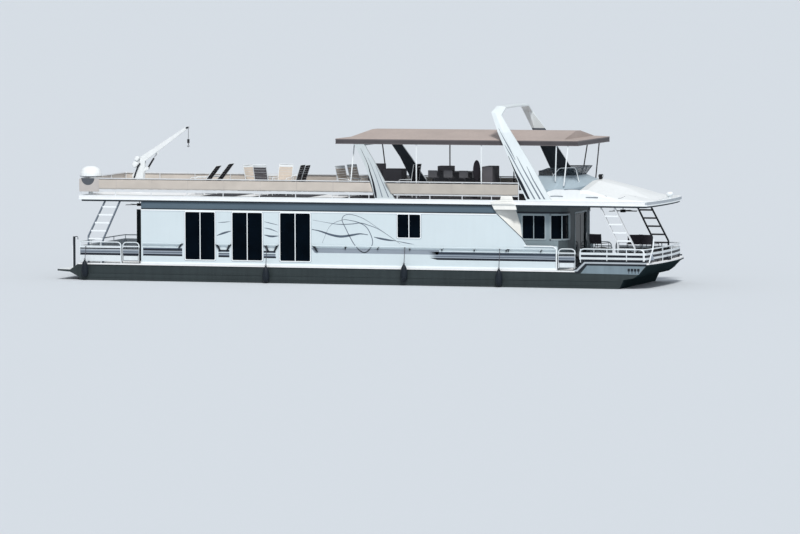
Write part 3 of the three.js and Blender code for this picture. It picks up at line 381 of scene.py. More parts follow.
def both_sides(part, name, mat, **options):
    """The starboard part and its mirror image to port."""
    part.make(name + "_starboard", mat, **options)
    part.flipped().make(name + "_port", mat, **options)


def piece(mat, body="boat", both=False, **options):
    """Makes a piece, or one on each side, of what the function under it adds to a new part."""
    def build(shape):
        part = Part()
        shape(part)
        if both:
            both_sides(part, shape.__name__, mat, **options)
        else:
            part.make(shape.__name__, mat, body, **options)
    return build


def rect(a0, a1, b0, b1):
    return [(a0, b0), (a1, b0), (a1, b1), (a0, b1)]


def rounded_rect(a0, a1, b0, b1, r, steps=4):
    corners = ((a1 - r, b1 - r, 0), (a0 + r, b1 - r, 90), (a0 + r, b0 + r, 180), (a1 - r, b0 + r, 270))
    return [(ca + r * math.cos(t), cb + r * math.sin(t)) for ca, cb, start in corners
            for t in (math.radians(start + 90 * i / steps) for i in range(steps + 1))]


def rounded(path, r, steps=5):
    """Path whose inner corners are bent with radius about r."""
    pts = [Vector(p) for p in path]
    out = [pts[0]]
    for a, b, c in zip(pts, pts[1:], pts[2:]):
        p = b + (a - b).normalized() * min(r, (a - b).length / 2)
        q = b + (c - b).normalized() * min(r, (c - b).length / 2)
        for i in range(steps + 1):
            t = i / steps
            out.append(p * (1 - t) ** 2 + b * 2 * t * (1 - t) + q * t ** 2)
    out.append(pts[-1])
    return out


def smooth_curve(points, steps=8):
    """Points along a smooth curve through the given ones."""
    pts = [Vector(p) for p in points]
    ext = [pts[0] * 2 - pts[1], *pts, pts[-1] * 2 - pts[-2]]
    out = []
    for a, b, c, d in zip(ext, ext[1:], ext[2:], ext[3:]):
        for i in range(steps):
            t = i / steps
            out.append(0.5 * (2 * b + (c - a) * t + (2 * a - 5 * b + 4 * c - d) * t ** 2
                              + (3 * b - a - 3 * c + d) * t ** 3))
    out.append(pts[-1])
    return out


def plan(aft, corner_x, nose_x, half):
    """Deck plan: straight sides and a shallow curved bow."""
    across = [i / 12 for i in range(-12, 13)]
    curve = [(nose_x - (nose_x - corner_x) * abs(t) ** 2.4, t * (half - 0.06)) for t in across]
    return [(aft, -half), (corner_x - 0.06, -half), *curve, (corner_x - 0.06, half), (aft, half)]


# Windows, stripes and rails of the side walls
TALL = [(-6.804, -5.638), (-4.952, -3.78), (-3.078, -1.904)]
TALL_Z = (1.275, 3.046)
SMALL = (1.482, 2.366, 2.201, 3.06)
WINDOWS = [(x0, x1, *TALL_Z) for x0, x1 in TALL] + [SMALL]


@piece("trim_white", both=True, bevel=0.004)
def window_frames(part):
    for x0, x1, z0, z1 in WINDOWS:
        outer = rounded_rect(x0 - 0.03, x1 + 0.03, z0 - 0.03, z1 + 0.03, 0.06)
        inner = rounded_rect(x0 + 0.004, x1 - 0.004, z0 + 0.004, z1 - 0.004, 0.045)
        part.frame(outer, inner, -WALL_Y - 0.016, -WALL_Y + 0.006)
        xm = (x0 + x1) / 2
        part.box(xm - 0.015, xm + 0.015, -WALL_Y - 0.01, -WALL_Y + 0.006, z0, z1)


@piece("stripe_grey", both=True)
def window_seals(part):
    for x0, x1, z0, z1 in WINDOWS:
        outer = rounded_rect(x0 - 0.044, x1 + 0.044, z0 - 0.044, z1 + 0.044, 0.07)
        inner = rounded_rect(x0 - 0.032, x1 + 0.032, z0 - 0.032, z1 + 0.032, 0.06)
        part.frame(outer, inner, -WALL_Y - 0.004, -WALL_Y + 0.004)


# Painted bands on the wall: x0, x1, z0, z1 and how far the ends lean forward towards the top, where they do.
BANDS = {
    "black": [
        (-8.48, -6.93, 1.392, 1.462), (-8.48, -6.93, 1.59, 1.655), (-5.5, -5.07, 1.378, 1.438),
        (-5.5, -5.07, 1.605, 1.655), (-3.72, -3.24, 1.372, 1.425), (-3.72, -3.26, 1.595, 1.64),
        (3.02, 7.55, 1.405, 1.478, -0.3), (2.97, 7.55, 1.63, 1.668, -0.3),
    ],
    "slate": [
        (-8.48, -6.93, 1.655, 1.695), (-8.48, -6.93, 1.508, 1.54), (-5.5, -5.07, 1.575, 1.605),
        (-5.5, -5.07, 1.5, 1.54), (-5.5, -5.07, 1.438, 1.462), (-3.72, -3.26, 1.565, 1.595),
        (-3.72, -3.26, 1.49, 1.525), (-3.72, -3.26, 1.425, 1.452), (2.98, 7.55, 1.592, 1.63, -0.3),
        (3.0, 7.55, 1.52, 1.55, -0.3), (2.95, 7.55, 1.668, 1.705, -0.3),
    ],
    "grey": [
        (-8.48, -6.93, 1.54, 1.59), (-8.48, -6.93, 1.462, 1.508), (-1.73, 3.05, 1.598, 1.765, -0.14, 0.05),
        (2.99, 7.55, 1.55, 1.592, -0.3), (3.0, 7.55, 1.478, 1.52, -0.3), (-5.5, -5.07, 1.462, 1.5),
        (-3.72, -3.26, 1.452, 1.49),
    ],
}
PAINT = (-WALL_Y - 0.0015, -WALL_Y + 0.001)  # outer and inner face of the paint
for shade, rows in BANDS.items():
    part = Part()
    for x0, x1, z0, z1, *lean in rows:
        lean0, lean1 = (*lean, 0, 0)[:2]
        part.prism([(x0, z0), (x1, z0), (x1 + lean1, z1), (x0 + lean0, z1)], *PAINT)
    both_sides(part, f"wall_bands_{shade}", f"stripe_{shade}")


def wall_ribbon(part, points, width, power=0.7):
    """Painted line on the starboard wall that swells from thin ends."""
    line = smooth_curve([(x, 0, z) for x, z in points], 10)
    n = len(line) - 1
    left, right = [], []
    for i, p in enumerate(line):
        t = (line[min(i + 1, n)] - line[max(i - 1, 0)]).normalized()
        w = width / 2 * max(0.3, math.sin(math.pi * i / n) ** power)
        left.append((p.x - t.z * w, p.z + t.x * w))
        right.append((p.x + t.z * w, p.z - t.x * w))
    for i in range(n):
        part.prism([left[i], left[i + 1], right[i + 1], right[i]], *PAINT)


# Flowing lines between the windows: widest width, then points in X and Z.
THIN_LINES = [
    (0.034, (-1.81, 2.81), (-1.13, 2.7), (-0.74, 2.66), (-0.28, 2.68), (0.03, 2.72), (0.34, 2.65),
     (0.81, 2.47), (1.58, 1.98)),
    (0.034, (-1.44, 1.96), (-1.13, 2.59), (-0.66, 2.82), (-0.35, 2.81), (0.03, 2.72), (0.34, 2.5),
     (0.52, 1.99), (0.22, 1.63), (-0.16, 1.89), (-0.51, 2.49), (-0.66, 2.86), (-0.43, 3.03), (0.11, 2.91),
     (0.81, 2.49), (1.58, 1.98)),
    (0.03, (1.42, 2.08), (1.81, 2.01), (2.12, 1.96)),
    (0.03, (-3.7, 2.72), (-3.47, 2.67), (-3.14, 2.6)),
    (0.04, (-3.7, 2.49), (-3.47, 2.45), (-3.16, 2.34)),
    (0.03, (-5.52, 2.66), (-5.27, 2.68), (-5.02, 2.71)),
]
BOLD_LINES = [
    (0.085, (-1.84, 2.46), (-1.52, 2.4), (-1.13, 2.28), (-0.82, 2.22), (-0.59, 2.22), (-0.28, 2.27),
     (0.03, 2.32), (0.34, 2.29)),
    (0.07, (0.57, 2.21), (0.81, 2.16), (1.12, 2.11), (1.42, 2.08)),
    (0.07, (-3.7, 2.23), (-3.43, 2.18), (-3.14, 2.2)),
    (0.07, (-5.56, 2.18), (-5.28, 2.28), (-4.99, 2.36)),
]
for name, mat, rows in (("thin", "line_grey", THIN_LINES), ("bold", "stripe_slate", BOLD_LINES)):
    part = Part()
    for width, *points in rows:
        wall_ribbon(part, points, width)
    both_sides(part, f"wall_lines_{name}", mat)


# Tapered legs at the ends of the grab rails, and the small brackets under the long one.
@piece("trim_dark", both=True, bevel=0.003)
def rail_brackets(part):
    y0, y1 = -WALL_Y - 0.05, -WALL_Y + 0.001
    for x, dx, drop in (
            (-6.93, -0.13, 0.17), (-5.56, 0.13, 0.23), (-5.03, -0.13, 0.23), (-3.67, 0.136, 0.235),
            (-3.18, -0.12, 0.24), (-1.775, 0.155, 0.225)):
        foot, z = x + dx, 1.862
        part.prism([(x - 0.05, z), (x + 0.05, z), (foot + 0.025, z - drop), (foot - 0.025, z - drop)], y0, y1)
    half = [(0.055, 1.842), (0.016, 1.8), (0.013, 1.74)]
    for x in (-0.531, 0.728, 1.96, 3.2, 4.44, 5.66, 5.74, 6.984):
        part.prism([(x + w, z) for w, z in half] + [(x - w, z) for w, z in half[::-1]], y0, y1)


# White edge rail that caps the bulwark and turns down at its forward end.
@piece("trim_white", both=True)
def bulwark_cap(part):
    y = -WALL_Y - 0.022
    x, z = BULWARK_X - 0.03, BULWARK_Z - 0.005
    path = [(6.35, y, z), (x, y, z), (x, y, DECK_Z + 0.03)]
    part.tube(rounded(path, 0.2), 0.024, 10)


@piece("trim_dark", both=True)
def wall_edge_line(part):
    part.tube([(x, -WALL_Y - 0.002, z) for x, z in ((5.3, 3.13), (6.262, 2.256), (6.467, 1.966))], 0.012, 6)


# Lines and mouldings along the sides: bevel, plane that they lie on, then x0, x1, z0, z1 and how proud.
SEAM_Y = WALL_Y - 0.02
EDGES = [
    ("wall_top_line", "trim_dark", 0, SEAM_Y,
     (CABIN_AFT_X + 0.01, 5.26, WALL_TOP - 0.008, WALL_TOP + 0.022, 0.03)),
    # Slate line just under the deck edge: painted shadow of the soffit
    ("band_top_line", "stripe_slate", 0, SEAM_Y, (CABIN_AFT_X + 0.01, 5.07, SOFFIT_Z, 3.44, 0.012)),
    ("wall_top_moulding", "trim_white", 0.004, WALL_Y,
     (CABIN_AFT_X, 5.27, WALL_TOP - 0.06, WALL_TOP - 0.012, 0.014)),
    ("wall_foot_moulding", "trim_white", 0.006, WALL_Y,
     (CABIN_AFT_X, BULWARK_X, DECK_Z + 0.004, DECK_Z + 0.075, 0.03)),
    ("deck_edge_line", "trim_dark", 0, HALF_BEAM, (-11.02, 8.3, 1.02, 1.037, 0.012)),
    ("hull_ribs", "hull_charcoal", 0.005, HALF_BEAM,
     (-10.98, 10.0, 0.72, 0.755, 0.012), (-10.85, 9.9, 0.56, 0.585, 0.01)),
]
for name, mat, bevel, y, *rows in EDGES:
    part = Part()
    for x0, x1, z0, z1, out in rows:
        part.box(x0, x1, -y - out, -y + 0.01, z0, z1)
    both_sides(part, name, mat, bevel=bevel)


# Bow side panel
@piece(finish("bow_panel", (0.2, 0.26, 0.3), 0.4, spread=0.06, streaks=0.1), both=True, bevel=0.002)
def bow_panel(part):
    outline = [(8.5, 1.0), (8.76, 1.315), (10.97, 1.315), (10.69, 0.985)]
    part.prism(outline, -HALF_BEAM - 0.006, -HALF_BEAM + 0.002)


# Strips along the step of the bow deck: heights above the step's line, how proud, and bevel.
STEP_LINE = [(8.3, 1.04), (8.4, 1.04), (8.7, 1.332), (10.985, 1.332)]
for name, mat, *heights, proud, bevel in (
        ("bow_board", "sill_grey", 0.03, 0.088, 0.014, 0.004),
        ("bow_board_gap", "trim_dark", 0.088, 0.13, 0.01, 0),
        ("bow_board_foot", "trim_dark", -0.04, 0.03, 0.01, 0)):
    under, over = ([(x - up * (0.7 if i < 3 else 0), z + up) for i, (x, z) in enumerate(STEP_LINE)]
                   for up in heights)
    part = Part().prism(under + over[::-1], -HALF_BEAM - proud, -HALF_BEAM + 0.004)
    both_sides(part, name, mat, bevel=bevel)


@piece("trim_dark", both=True)
def bow_vents(part):
    for x in (10.32, 10.44, 10.56, 10.68):
        part.prism(rounded_rect(x - 0.045, x + 0.045, 1.1, 1.2, 0.02), -HALF_BEAM - 0.012, -HALF_BEAM)
        part.prism(rounded_rect(x - 0.012, x + 0.012, 1.02, 1.1, 0.01), -HALF_BEAM - 0.01, -HALF_BEAM)


# Rails and gates of the main deck
PANEL_BANDS = [
    ("edge", "black", 1.615, 1.662), ("upper", "grey", 1.542, 1.6), ("line", "slate", 1.508, 1.542),
    ("lower", "grey", 1.47, 1.508), ("foot", "black", 1.392, 1.47),
]
PANEL_FACE = (-PANEL_Y - 0.0025, -PANEL_Y + 0.001)
GATES = {"stern_gate": (-9.3, -8.612), "bow_gate": (7.625, 8.3)}


def gate(x0, x1):
    """Gate leaf: bent tube, panel and the rail over it."""
    a, b, y, z0 = x0 + 0.02, x1 - 0.02, -HALF_BEAM + 0.04, DECK_Z
    hoop = [(a, y, z0 + 0.09), (a, y, z0 + 0.79), (b, y, z0 + 0.79), (b, y, z0 + 0.09)]
    part = Part().tube(rounded(hoop, 0.17), 0.02, 10)
    part.box(a, b, y - 0.015, y + 0.015, z0 + 0.09, z0 + 0.575)
    return part.tube([(a, y, z0 + 0.635), (b, y, z0 + 0.635)], 0.024, 10)


def gate_border(x0, x1):
    """Dark seal round the lower half of a gate panel, and the dark strips at its ends."""
    z0 = DECK_Z + 0.1
    outer = rect(x0 + 0.045, x1 - 0.045, z0, z0 + 0.2)
    inner = rect(x0 + 0.06, x1 - 0.06, z0 + 0.015, z0 + 0.185)
    part = Part().frame(outer, inner, *PANEL_FACE)
    for x in (x0, x1):
        part.box(x - 0.01, x + 0.01, -PANEL_Y - 0.009, -PANEL_Y + 0.02, DECK_Z + 0.03, DECK_Z + 0.6)
    return part


for gate_name, (x0, x1) in GATES.items():
    for side in SIDES:
        body = f"{gate_name}_{side}"
        parts = [("leaf", "panel_white", gate(x0, x1)), ("border", "trim_dark", gate_border(x0, x1))]
        parts += [(f"band_{band}", f"stripe_{shade}", Part().box(x0 + 0.02, x1 - 0.02, *PANEL_FACE, z0, z1))
                  for band, shade, z0, z1 in PANEL_BANDS]
        for name, mat, part in parts:
            shape = part if side == "starboard" else part.flipped()
            shape.make(f"{body}_{name}", mat, body, replaces=(body,) if name == "leaf" else ())


@piece("panel_white", replaces=("stern_rail",), bevel=0.002)
def stern_rail_frame(part):
    x, bow, y = -10.995, -9.352, HALF_BEAM - 0.04
    top, foot = DECK_Z + 0.79, DECK_Z + 0.0005
    path = [(bow, -y, foot), (bow, -y, top), (x, -y, top), (x, y, top), (bow, y, top), (bow, y, foot)]
    part.tube(rounded(path, 0.17), 0.022, 10)
    posts = [(x + 0.02, -y), (x + 0.02, y), (x, -1.2), (x, 0), (x, 1.2), (-10.15, -y), (-10.15, y)]
    part.tubes([[(*post, foot), (*post, top)] for post in posts], 0.018)
    for s in (-1, 1):
        part.box(x, bow, s * y - 0.015, s * y + 0.015, DECK_Z + 0.075, 1.74)
    part.box(-11.01, -10.98, -y, y, DECK_Z + 0.075, 1.74)


for band, shade, z0, z1 in PANEL_BANDS:
    both_sides(Part().box(-10.97, -9.37, *PANEL_FACE, z0, z1), f"stern_band_{band}", f"stripe_{shade}")
    Part().box(-11.0125, -11.008, -2.38, 2.38, z0, z1).make(f"stern_band_aft_{band}", f"stripe_{shade}")


# Bow rail: bent ends, bands and painted lines
BOW_TOP = 1.89


def bow_line(grow=0.0, start=8.44):
    return plan(start, 10.93 + grow, 11.08 + grow, RAIL_Y + grow)


@piece("panel_white", replaces=("bow_rail",))
def bow_rail_tubes(part):
    aft, *run, end = bow_line()
    starboard, port = ([(x + 0.02, y, 1.5), (x + 0.02, y, BOW_TOP)] for x, y in (aft, end))
    path = [*starboard, *((x, y, BOW_TOP) for x, y in run), *port[::-1]]
    part.tube([*rounded(path[:3], 0.17), *path[3:-3], *rounded(path[-3:], 0.17)], 0.024, 10)
    rows = ((11.08, 0.6), (8.482, RAIL_Y), (9.48, RAIL_Y), (10.22, RAIL_Y), (10.85, RAIL_Y))
    posts = [(x, s * y) for x, y in rows for s in (-1, 1)]
    part.tubes([[(*post, FORE_Z + 0.0005), (*post, BOW_TOP)] for post in posts], 0.02)


for name, z0, z1, proud, mat in (
        ("band_upper", 1.68, 1.762, 0.012, "panel_white"),
        ("band_lower", 1.512, 1.592, 0.012, "panel_white"),
        ("line_upper", 1.592, 1.68, 0.004, "stripe_black"),
        ("line_lower", 1.435, 1.512, 0.004, "stripe_black")):
    band = Part().frame(bow_line(proud, 8.47), bow_line(-proud, 8.47), z0, z1, "z", closed=False)
    band.make(f"bow_rail_{name}", mat)


# Bow corner braces
BRACE_Y = -2.37


@piece("trim_white")
def bow_braces(part):
    """Bent pole at the starboard corner and the curved brace by it."""
    pole = [(11.24, 2.3), (11.2, 1.92), (11.13, 1.68), (11.07, 1.42)]
    part.tube(smooth_curve([(x, BRACE_Y, z) for x, z in pole], 6), 0.026, 10)
    brace = [(10.76, RAIL_Y, 1.885), (10.84, 2.41, 1.84), (10.88, 2.41, 1.77), (10.885, 2.41, 1.46)]
    part.tube(smooth_curve([(x, -y, z) for x, y, z in brace], 6), 0.024, 10)
    part.lathe([(0.0, -0.03), (0.036, -0.03), (0.036, 0.03), (0.0, 0.03)], (11.2, BRACE_Y, 1.92), 10, "y")


@piece("stripe_grey")
def bow_gusset(part):
    part.prism([(11.16, 1.84), (11.26, 1.52), (11.12, 1.52)], BRACE_Y - 0.008, BRACE_Y + 0.008)


# Anchor roller, windlass and cleats on the fore deck
@piece("trim_dark", bevel=0.003)
def bow_fittings(part):
    cheek = [(10.8, 1.396), (11.2, 1.396), (11.21, 1.44), (11.15, 1.5), (10.8, 1.46)]
    for y in (-0.12, 0.12):
        part.prism(cheek, y - 0.012, y + 0.012)
    part.tube([(11.15, -0.13, 1.455), (11.15, 0.13, 1.455)], 0.035, 12)
    part.box(10.45, 10.8, -0.18, 0.18, 1.396, 1.53)
    part.tube([(10.62, -0.24, 1.5), (10.62, 0.24, 1.5)], 0.09, 14)
    for y in (-1.9, -1.0, 1.0, 1.9):
        part.box(10.98, 11.02, y - 0.05, y + 0.05, 1.396, 1.44)
        part.tube([(11.0, y - 0.13, 1.455), (11.0, y + 0.13, 1.455)], 0.018, 8)


# Forward cabin: window frames, strips along its top (the upper one painted shade under the overhang), and the
# door's frame and handle
@piece("shaded_trim", both=True, bevel=0.004)
def forward_window_trim(part):
    outer = rounded_rect(6.08, 7.035, 2.15, 3.11, 0.07)
    inner = rounded_rect(6.14, 6.98, 2.21, 3.052, 0.04)
    part.frame(outer, inner, -FRONT_Y - 0.014, -FRONT_Y + 0.01)
    part.box(6.545, 6.575, -FRONT_Y - 0.01, -FRONT_Y + 0.01, 2.2, 3.06)


def corner_line(grow, x0, y1=-1.2):
    """Plan of the rounded forward corner, from a place on the side to one on the front wall."""
    x, y, r = FRONT_X + grow, FRONT_Y + grow, 0.52 + grow
    turn = (-math.pi / 2 + i / 8 * math.pi / 2 for i in range(9))
    bend = [(x - r + r * math.cos(a), -y + r + r * math.sin(a)) for a in turn]
    return [(x0, -y), *(p for p in bend if p[0] > x0), (x, y1)]


def corner_strip(part, z0, z1, grow, x0):
    return part.frame(corner_line(grow, x0), corner_line(-0.02, x0), z0, z1, "z", closed=False)


@piece("shaded_trim", both=True, bevel=0.003)
def corner_window_trim(part):
    corner_strip(part, 2.15, 2.205, 0.014, 7.16)
    corner_strip(part, 3.06, 3.115, 0.014, 7.16)
    part.box(7.165, 7.225, -FRONT_Y - 0.014, -FRONT_Y + 0.02, 2.15, 3.11)
    part.box(FRONT_X - 0.02, FRONT_X + 0.014, -1.26, -1.2, 2.15, 3.11)
    part.box(7.585, 7.62, -1.80, -1.765, 2.2, 3.06)


# Upper strip along the cabin's top: painted shade under the overhang
both_sides(corner_strip(Part(), 3.2, 3.46, 0.008, 5.93), "soffit_shade_strip", "deep_shade", bevel=0.002)
both_sides(corner_strip(Part(), 3.13, 3.199, 0.008, 5.93), "ceiling_line", "trim_dark", bevel=0.002)


@piece("shaded_trim", bevel=0.003)
def front_door_frame(part):
    outer, inner = rect(-0.56, 1.02, DECK_Z + 0.002, 3.13), rect(-0.5, 0.96, DECK_Z + 0.004, 3.07)
    part.frame(outer, inner, FRONT_X - 0.03, FRONT_X + 0.012, "x")


@piece("rod_steel", "front_slider")
def front_door_handle(part):
    root, grip, y = FRONT_X - 0.038, FRONT_X + 0.01, 0.94
    part.tube(rounded([(root, y, 2.0), (grip, y, 2.0), (grip, y, 2.3), (root, y, 2.3)], 0.02), 0.009)


# Cream fairing between the side wall and the forward cabin, with the moulded hood over it
HOOD = [(5.1, 3.475), (6.02, 3.475), (5.94, 3.64), (5.89, 3.78), (5.48, 3.78), (5.465, 3.65), (5.105, 3.56)]
HOOD_FOOT = [(5.125, 3.474), (5.215, 3.285), (6.065, 3.285), (6.01, 3.474)]


def scaled(outline, share):
    """Outline drawn towards its middle."""
    ca, cb = (sum(v) / len(outline) for v in zip(*outline))
    return [(ca + (a - ca) * share, cb + (b - cb) * share) for a, b in outline]


@piece("cream", both=True, bevel=0.004)
def deck_hood_skin(part):
    """Skin over the deck hood with rounded shoulders, and over its foot below the deck edge."""
    edges = ((1.02, -0.004), (1.02, -0.038), (0.92, -0.052))
    part.rings([[(x, -HALF_BEAM + y, z) for x, z in scaled(HOOD, share)] for share, y in edges])
    part.prism(scaled(HOOD_FOOT, 1.01), -HALF_BEAM - 0.004, -HALF_BEAM + 0.046)


@piece("cream", both=True, bevel=0.004)
def deck_hood_ribs(part):
    for z in (3.51, 3.585, 3.66):
        part.box(5.5, 5.93, -HALF_BEAM - 0.06, -HALF_BEAM - 0.04, z, z + 0.018)


FAIRING = [  # z, x at the side wall, x at the cabin
    (BULWARK_Z + 0.01, 6.44, 6.105), (2.25, 6.245, 6.105), (2.78, 5.67, 6.038), (WALL_TOP, 5.283, 5.93),
    (SOFFIT_Z - 0.004, 5.095, 5.84),
]


@piece("cream", both=True)
def fairing_skin(part):
    """Cream facing over the slanted bulkhead behind the side wall's forward edge."""
    ya, yb = -WALL_Y + 0.062, -FRONT_Y + 0.012
    part.rings([[(xa + 0.005, ya, z), (xb + 0.005, yb, z), (xb + 0.001, yb, z), (xa + 0.001, ya, z)]
                for z, xa, xb in FAIRING])


# Upper deck edge: gutter lips
@piece("trim_white", bevel=0.004)
def deck_edge_lip(part):
    for z0, z1, grow in ((ROOF_Z - 0.012, ROOF_Z + 0.03, 0.008), (TOP_Z - 0.02, TOP_Z + 0.006, 0.006)):
        outer, inner = (plan(-11.006, 10.987 + g, 11.145 + g, HALF_BEAM + g) for g in (grow, -0.02))
        part.frame(outer, inner, z0, z1, "z", closed=False)


# Canvas panels laced to the upper rails
def canvas_sheet(name, path, z0, z1, replaces, slants, mat):
    """Cloth stretched along plan points, hollow between posts; slants lean its ends back towards the top."""
    pts = [Vector((*p, 0)) for p in path]
    columns = []
    for a, b in zip(pts, pts[1:]):
        count = max(2, int((b - a).length / 0.09))
        out = Vector((b - a).normalized().cross(Vector((0, 0, 1))))
        columns += [(a.lerp(b, i / count), out) for i in range(count)]
    columns.append((pts[-1], columns[-1][1]))
    runs = [0.0]
    for (a, _), (b, _) in zip(columns, columns[1:]):
        runs.append(runs[-1] + (b - a).length)
    total = runs[-1]
    rows = 8
    verts = []
    for run, (p, out) in zip(runs, columns):
        hollow = math.sin(math.pi * (run / 1.3 % 1)) ** 2
        lean = slants[0] * max(0, 1 - run / 0.4) + slants[1] * max(0, 1 - (total - run) / 0.4)
        for r in range(rows + 1):
            t = r / rows
            bulge = (0.007 * hollow + 0.003 * math.sin(run * 7.3 + t * 5)) * math.sin(math.pi * t)
            edge = 0.003 * math.cos(run * math.tau / 0.36) * (1 if t == 1 else -1 if t == 0 else 0)
            q = p - out * bulge
            verts.append((q.x + lean * (0.5 - t), q.y, z0 + (z1 - z0) * t + edge))
    up = rows + 1
    corners = (c * up + r for c in range(len(columns) - 1) for r in range(rows))
    faces = [(a, a + 1, a + up + 1, a + up) for a in corners]
    me = bpy.data.meshes.new(name)
    me.from_pydata(verts, [], faces)
    ob = mesh_object(name, me, mat)
    thick = ob.modifiers.new("cloth", "SOLIDIFY")
    thick.thickness = 0.002
    thick.offset = 0
    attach(ob, "boat")
    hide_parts(replaces)


AFT_CANVAS_Z = (3.862, 4.228)
FORE_CANVAS_Z = (3.803, 4.215)
CANVAS_Y = RAIL_Y + 0.027
woven("fore_canvas", (0.48, 0.445, 0.4))
aft_path = [(0.494, -CANVAS_Y), (-10.965, -CANVAS_Y), (-10.965, CANVAS_Y), (0.494, CANVAS_Y)]
canvas_sheet("aft_canvas_cloth", aft_path, *AFT_CANVAS_Z, "aft_canvas", (0.116, 0.116), "canvas")
for side, sign in SIDES.items():
    fore_path = [(1.13, sign * CANVAS_Y), (6.12, sign * CANVAS_Y)]
    canvas_sheet(f"fore_canvas_cloth_{side}", fore_path, *FORE_CANVAS_Z, f"fore_canvas_{side}", (0.23, 0),
                 "fore_canvas")


def canvas_strips(name, mat, rows):
    """Flat strips on the outer face of the canvas."""
    part = Part()
    for x0, x1, z0, z1 in rows:
        part.box(x0, x1, -CANVAS_Y - 0.007, -CANVAS_Y - 0.003, z0, z1)
    both_sides(part, name, mat)


CANVAS_RUNS = [(-10.94, 0.43, *AFT_CANVAS_Z, 8), (1.04, 6.11, *FORE_CANVAS_Z, 4)]
seams = [(x0 + (x1 - x0) * i / n, z0, z1) for x0, x1, z0, z1, n in CANVAS_RUNS for i in range(1, n)]
canvas_strips("canvas_seams", woven("canvas_seam", (0.47, 0.43, 0.4)),
              [(x - 0.01, x + 0.01, z0 + 0.01, z1 - 0.01) for x, z0, z1 in seams])
# Dark strip along the canvas's top edge: painted shadow under the rail tube
canvas_strips("canvas_hem", "trim_dark", [(x0, x1, z1 - 0.012, z1) for x0, x1, _, z1, _ in CANVAS_RUNS])


# Arches: painted grooves that run down the outer face of each leg
FORWARD_LEG = [  # z and x of the aft edge, z and x of the bow edge, half width at the outer face
    (3.625, 6.437, 3.625, 7.372, 2.42), (4.571, 5.973, 4.571, 6.803, 2.325),
    (5.235, 5.677, 5.235, 6.38, 2.25), (6.096, 5.28, 6.096, 5.797, 2.19), (6.825, 4.979, 6.722, 5.365, 2.0),
]
AFT_LEG = [
    (3.625, 0.637, 3.625, 1.383, 2.435), (4.3, 0.43, 4.3, 0.96, 2.355), (4.95, 0.13, 4.95, 0.56, 2.235),
    (5.62, -0.285, 5.62, 0.103, 2.095),
]


def on_leg(levels, crease, u, v):
    """Point on a leg's outer face: u from foot to head, v from the aft edge to the bow edge."""
    k = min(int(u * (len(levels) - 1)), len(levels) - 2)
    t = u * (len(levels) - 1) - k
    za, xa, zb, xb, y = (a + (b - a) * t for a, b in zip(levels[k], levels[k + 1]))
    proud = crease * (v / 0.42 if v < 0.42 else (1 - v) / 0.58)
    return Vector((xa + (xb - xa) * v, -y - proud, za + (zb - za) * v))


def grooves(levels, crease, rows):
    """Tapered strips down a leg: each row lists (u, v, width as a share of the leg)."""
    part = Part()
    for row in rows:
        steps, out = 14, Vector((0, -0.004, 0))
        rings = []
        for i in range(steps + 1):
            s = i / steps * (len(row) - 1)
            k = min(int(s), len(row) - 2)
            u, v, w = (a + (b - a) * (s - k) for a, b in zip(row[k], row[k + 1]))
            a, b = (on_leg(levels, crease, u, v + half) for half in (-w / 2, w / 2))
            rings.append([a + out, b + out, b - out, a - out])
        part.rings(rings)
    return part


FORWARD_DARK = [[(0.5, 0.04, 0.02), (0.3, 0.07, 0.07), (0.16, 0.1, 0.15), (0.015, 0.13, 0.1)]]
FORWARD_GREY = [
    [(0.8, 0.2, 0.02), (0.6, 0.3, 0.07), (0.45, 0.33, 0.02)],
    [(0.62, 0.12, 0.02), (0.5, 0.2, 0.06), (0.34, 0.26, 0.05), (0.015, 0.38, 0.06)],
    [(0.5, 0.5, 0.02), (0.3, 0.52, 0.05), (0.015, 0.6, 0.065)],
    [(0.36, 0.75, 0.02), (0.2, 0.72, 0.045), (0.015, 0.78, 0.06)],
]
AFT_DARK = [[
    (0.92, 0.42, 0.02), (0.62, 0.33, 0.05), (0.48, 0.22, 0.09), (0.28, 0.155, 0.12), (0.1, 0.1, 0.13),
    (0.015, 0.07, 0.08),
]]
AFT_GREY = [
    [(0.75, 0.62, 0.02), (0.55, 0.58, 0.035), (0.3, 0.5, 0.045), (0.03, 0.41, 0.05)],
    [(0.6, 0.93, 0.02), (0.335, 0.82, 0.045), (0.03, 0.74, 0.055)],
]
for arch, leg, crease, dark, grey in (("forward", FORWARD_LEG, 0.024, FORWARD_DARK, FORWARD_GREY),
                                      ("aft", AFT_LEG, 0, AFT_DARK, AFT_GREY)):
    both_sides(grooves(leg, crease, dark), f"{arch}_arch_flash", "stripe_black")
    both_sides(grooves(leg, crease, grey), f"{arch}_arch_lines", "line_grey")


# Hardtop: edge trim and ceiling
@piece(finish("fascia_trim", (0.14, 0.125, 0.13), 0.45, spread=0.08), bevel=0.004)
def hardtop_trim(part):
    a, b, y = HARDTOP["aft"] - 0.006, HARDTOP["bow"] + 0.006, HARDTOP["y"] + 0.006
    low, high = HARDTOP["z0"], HARDTOP["z1"]
    for z0, z1 in ((low - 0.006, low + 0.02), (high - 0.03, high + 0.012)):
        part.frame(rect(a, b, -y, y), rect(a + 0.02, b - 0.02, -y + 0.02, y - 0.02), z0, z1, "z")


@piece(finish("ceiling_panel", (0.1, 0.095, 0.1), 0.7, spread=0.06, grain=0.1))
def hardtop_ceiling(part):
    part.box(HARDTOP["aft"] + 0.1, HARDTOP["bow"] - 0.1, -HARDTOP["y"] + 0.1, HARDTOP["y"] - 0.1, 5.786, 5.8)


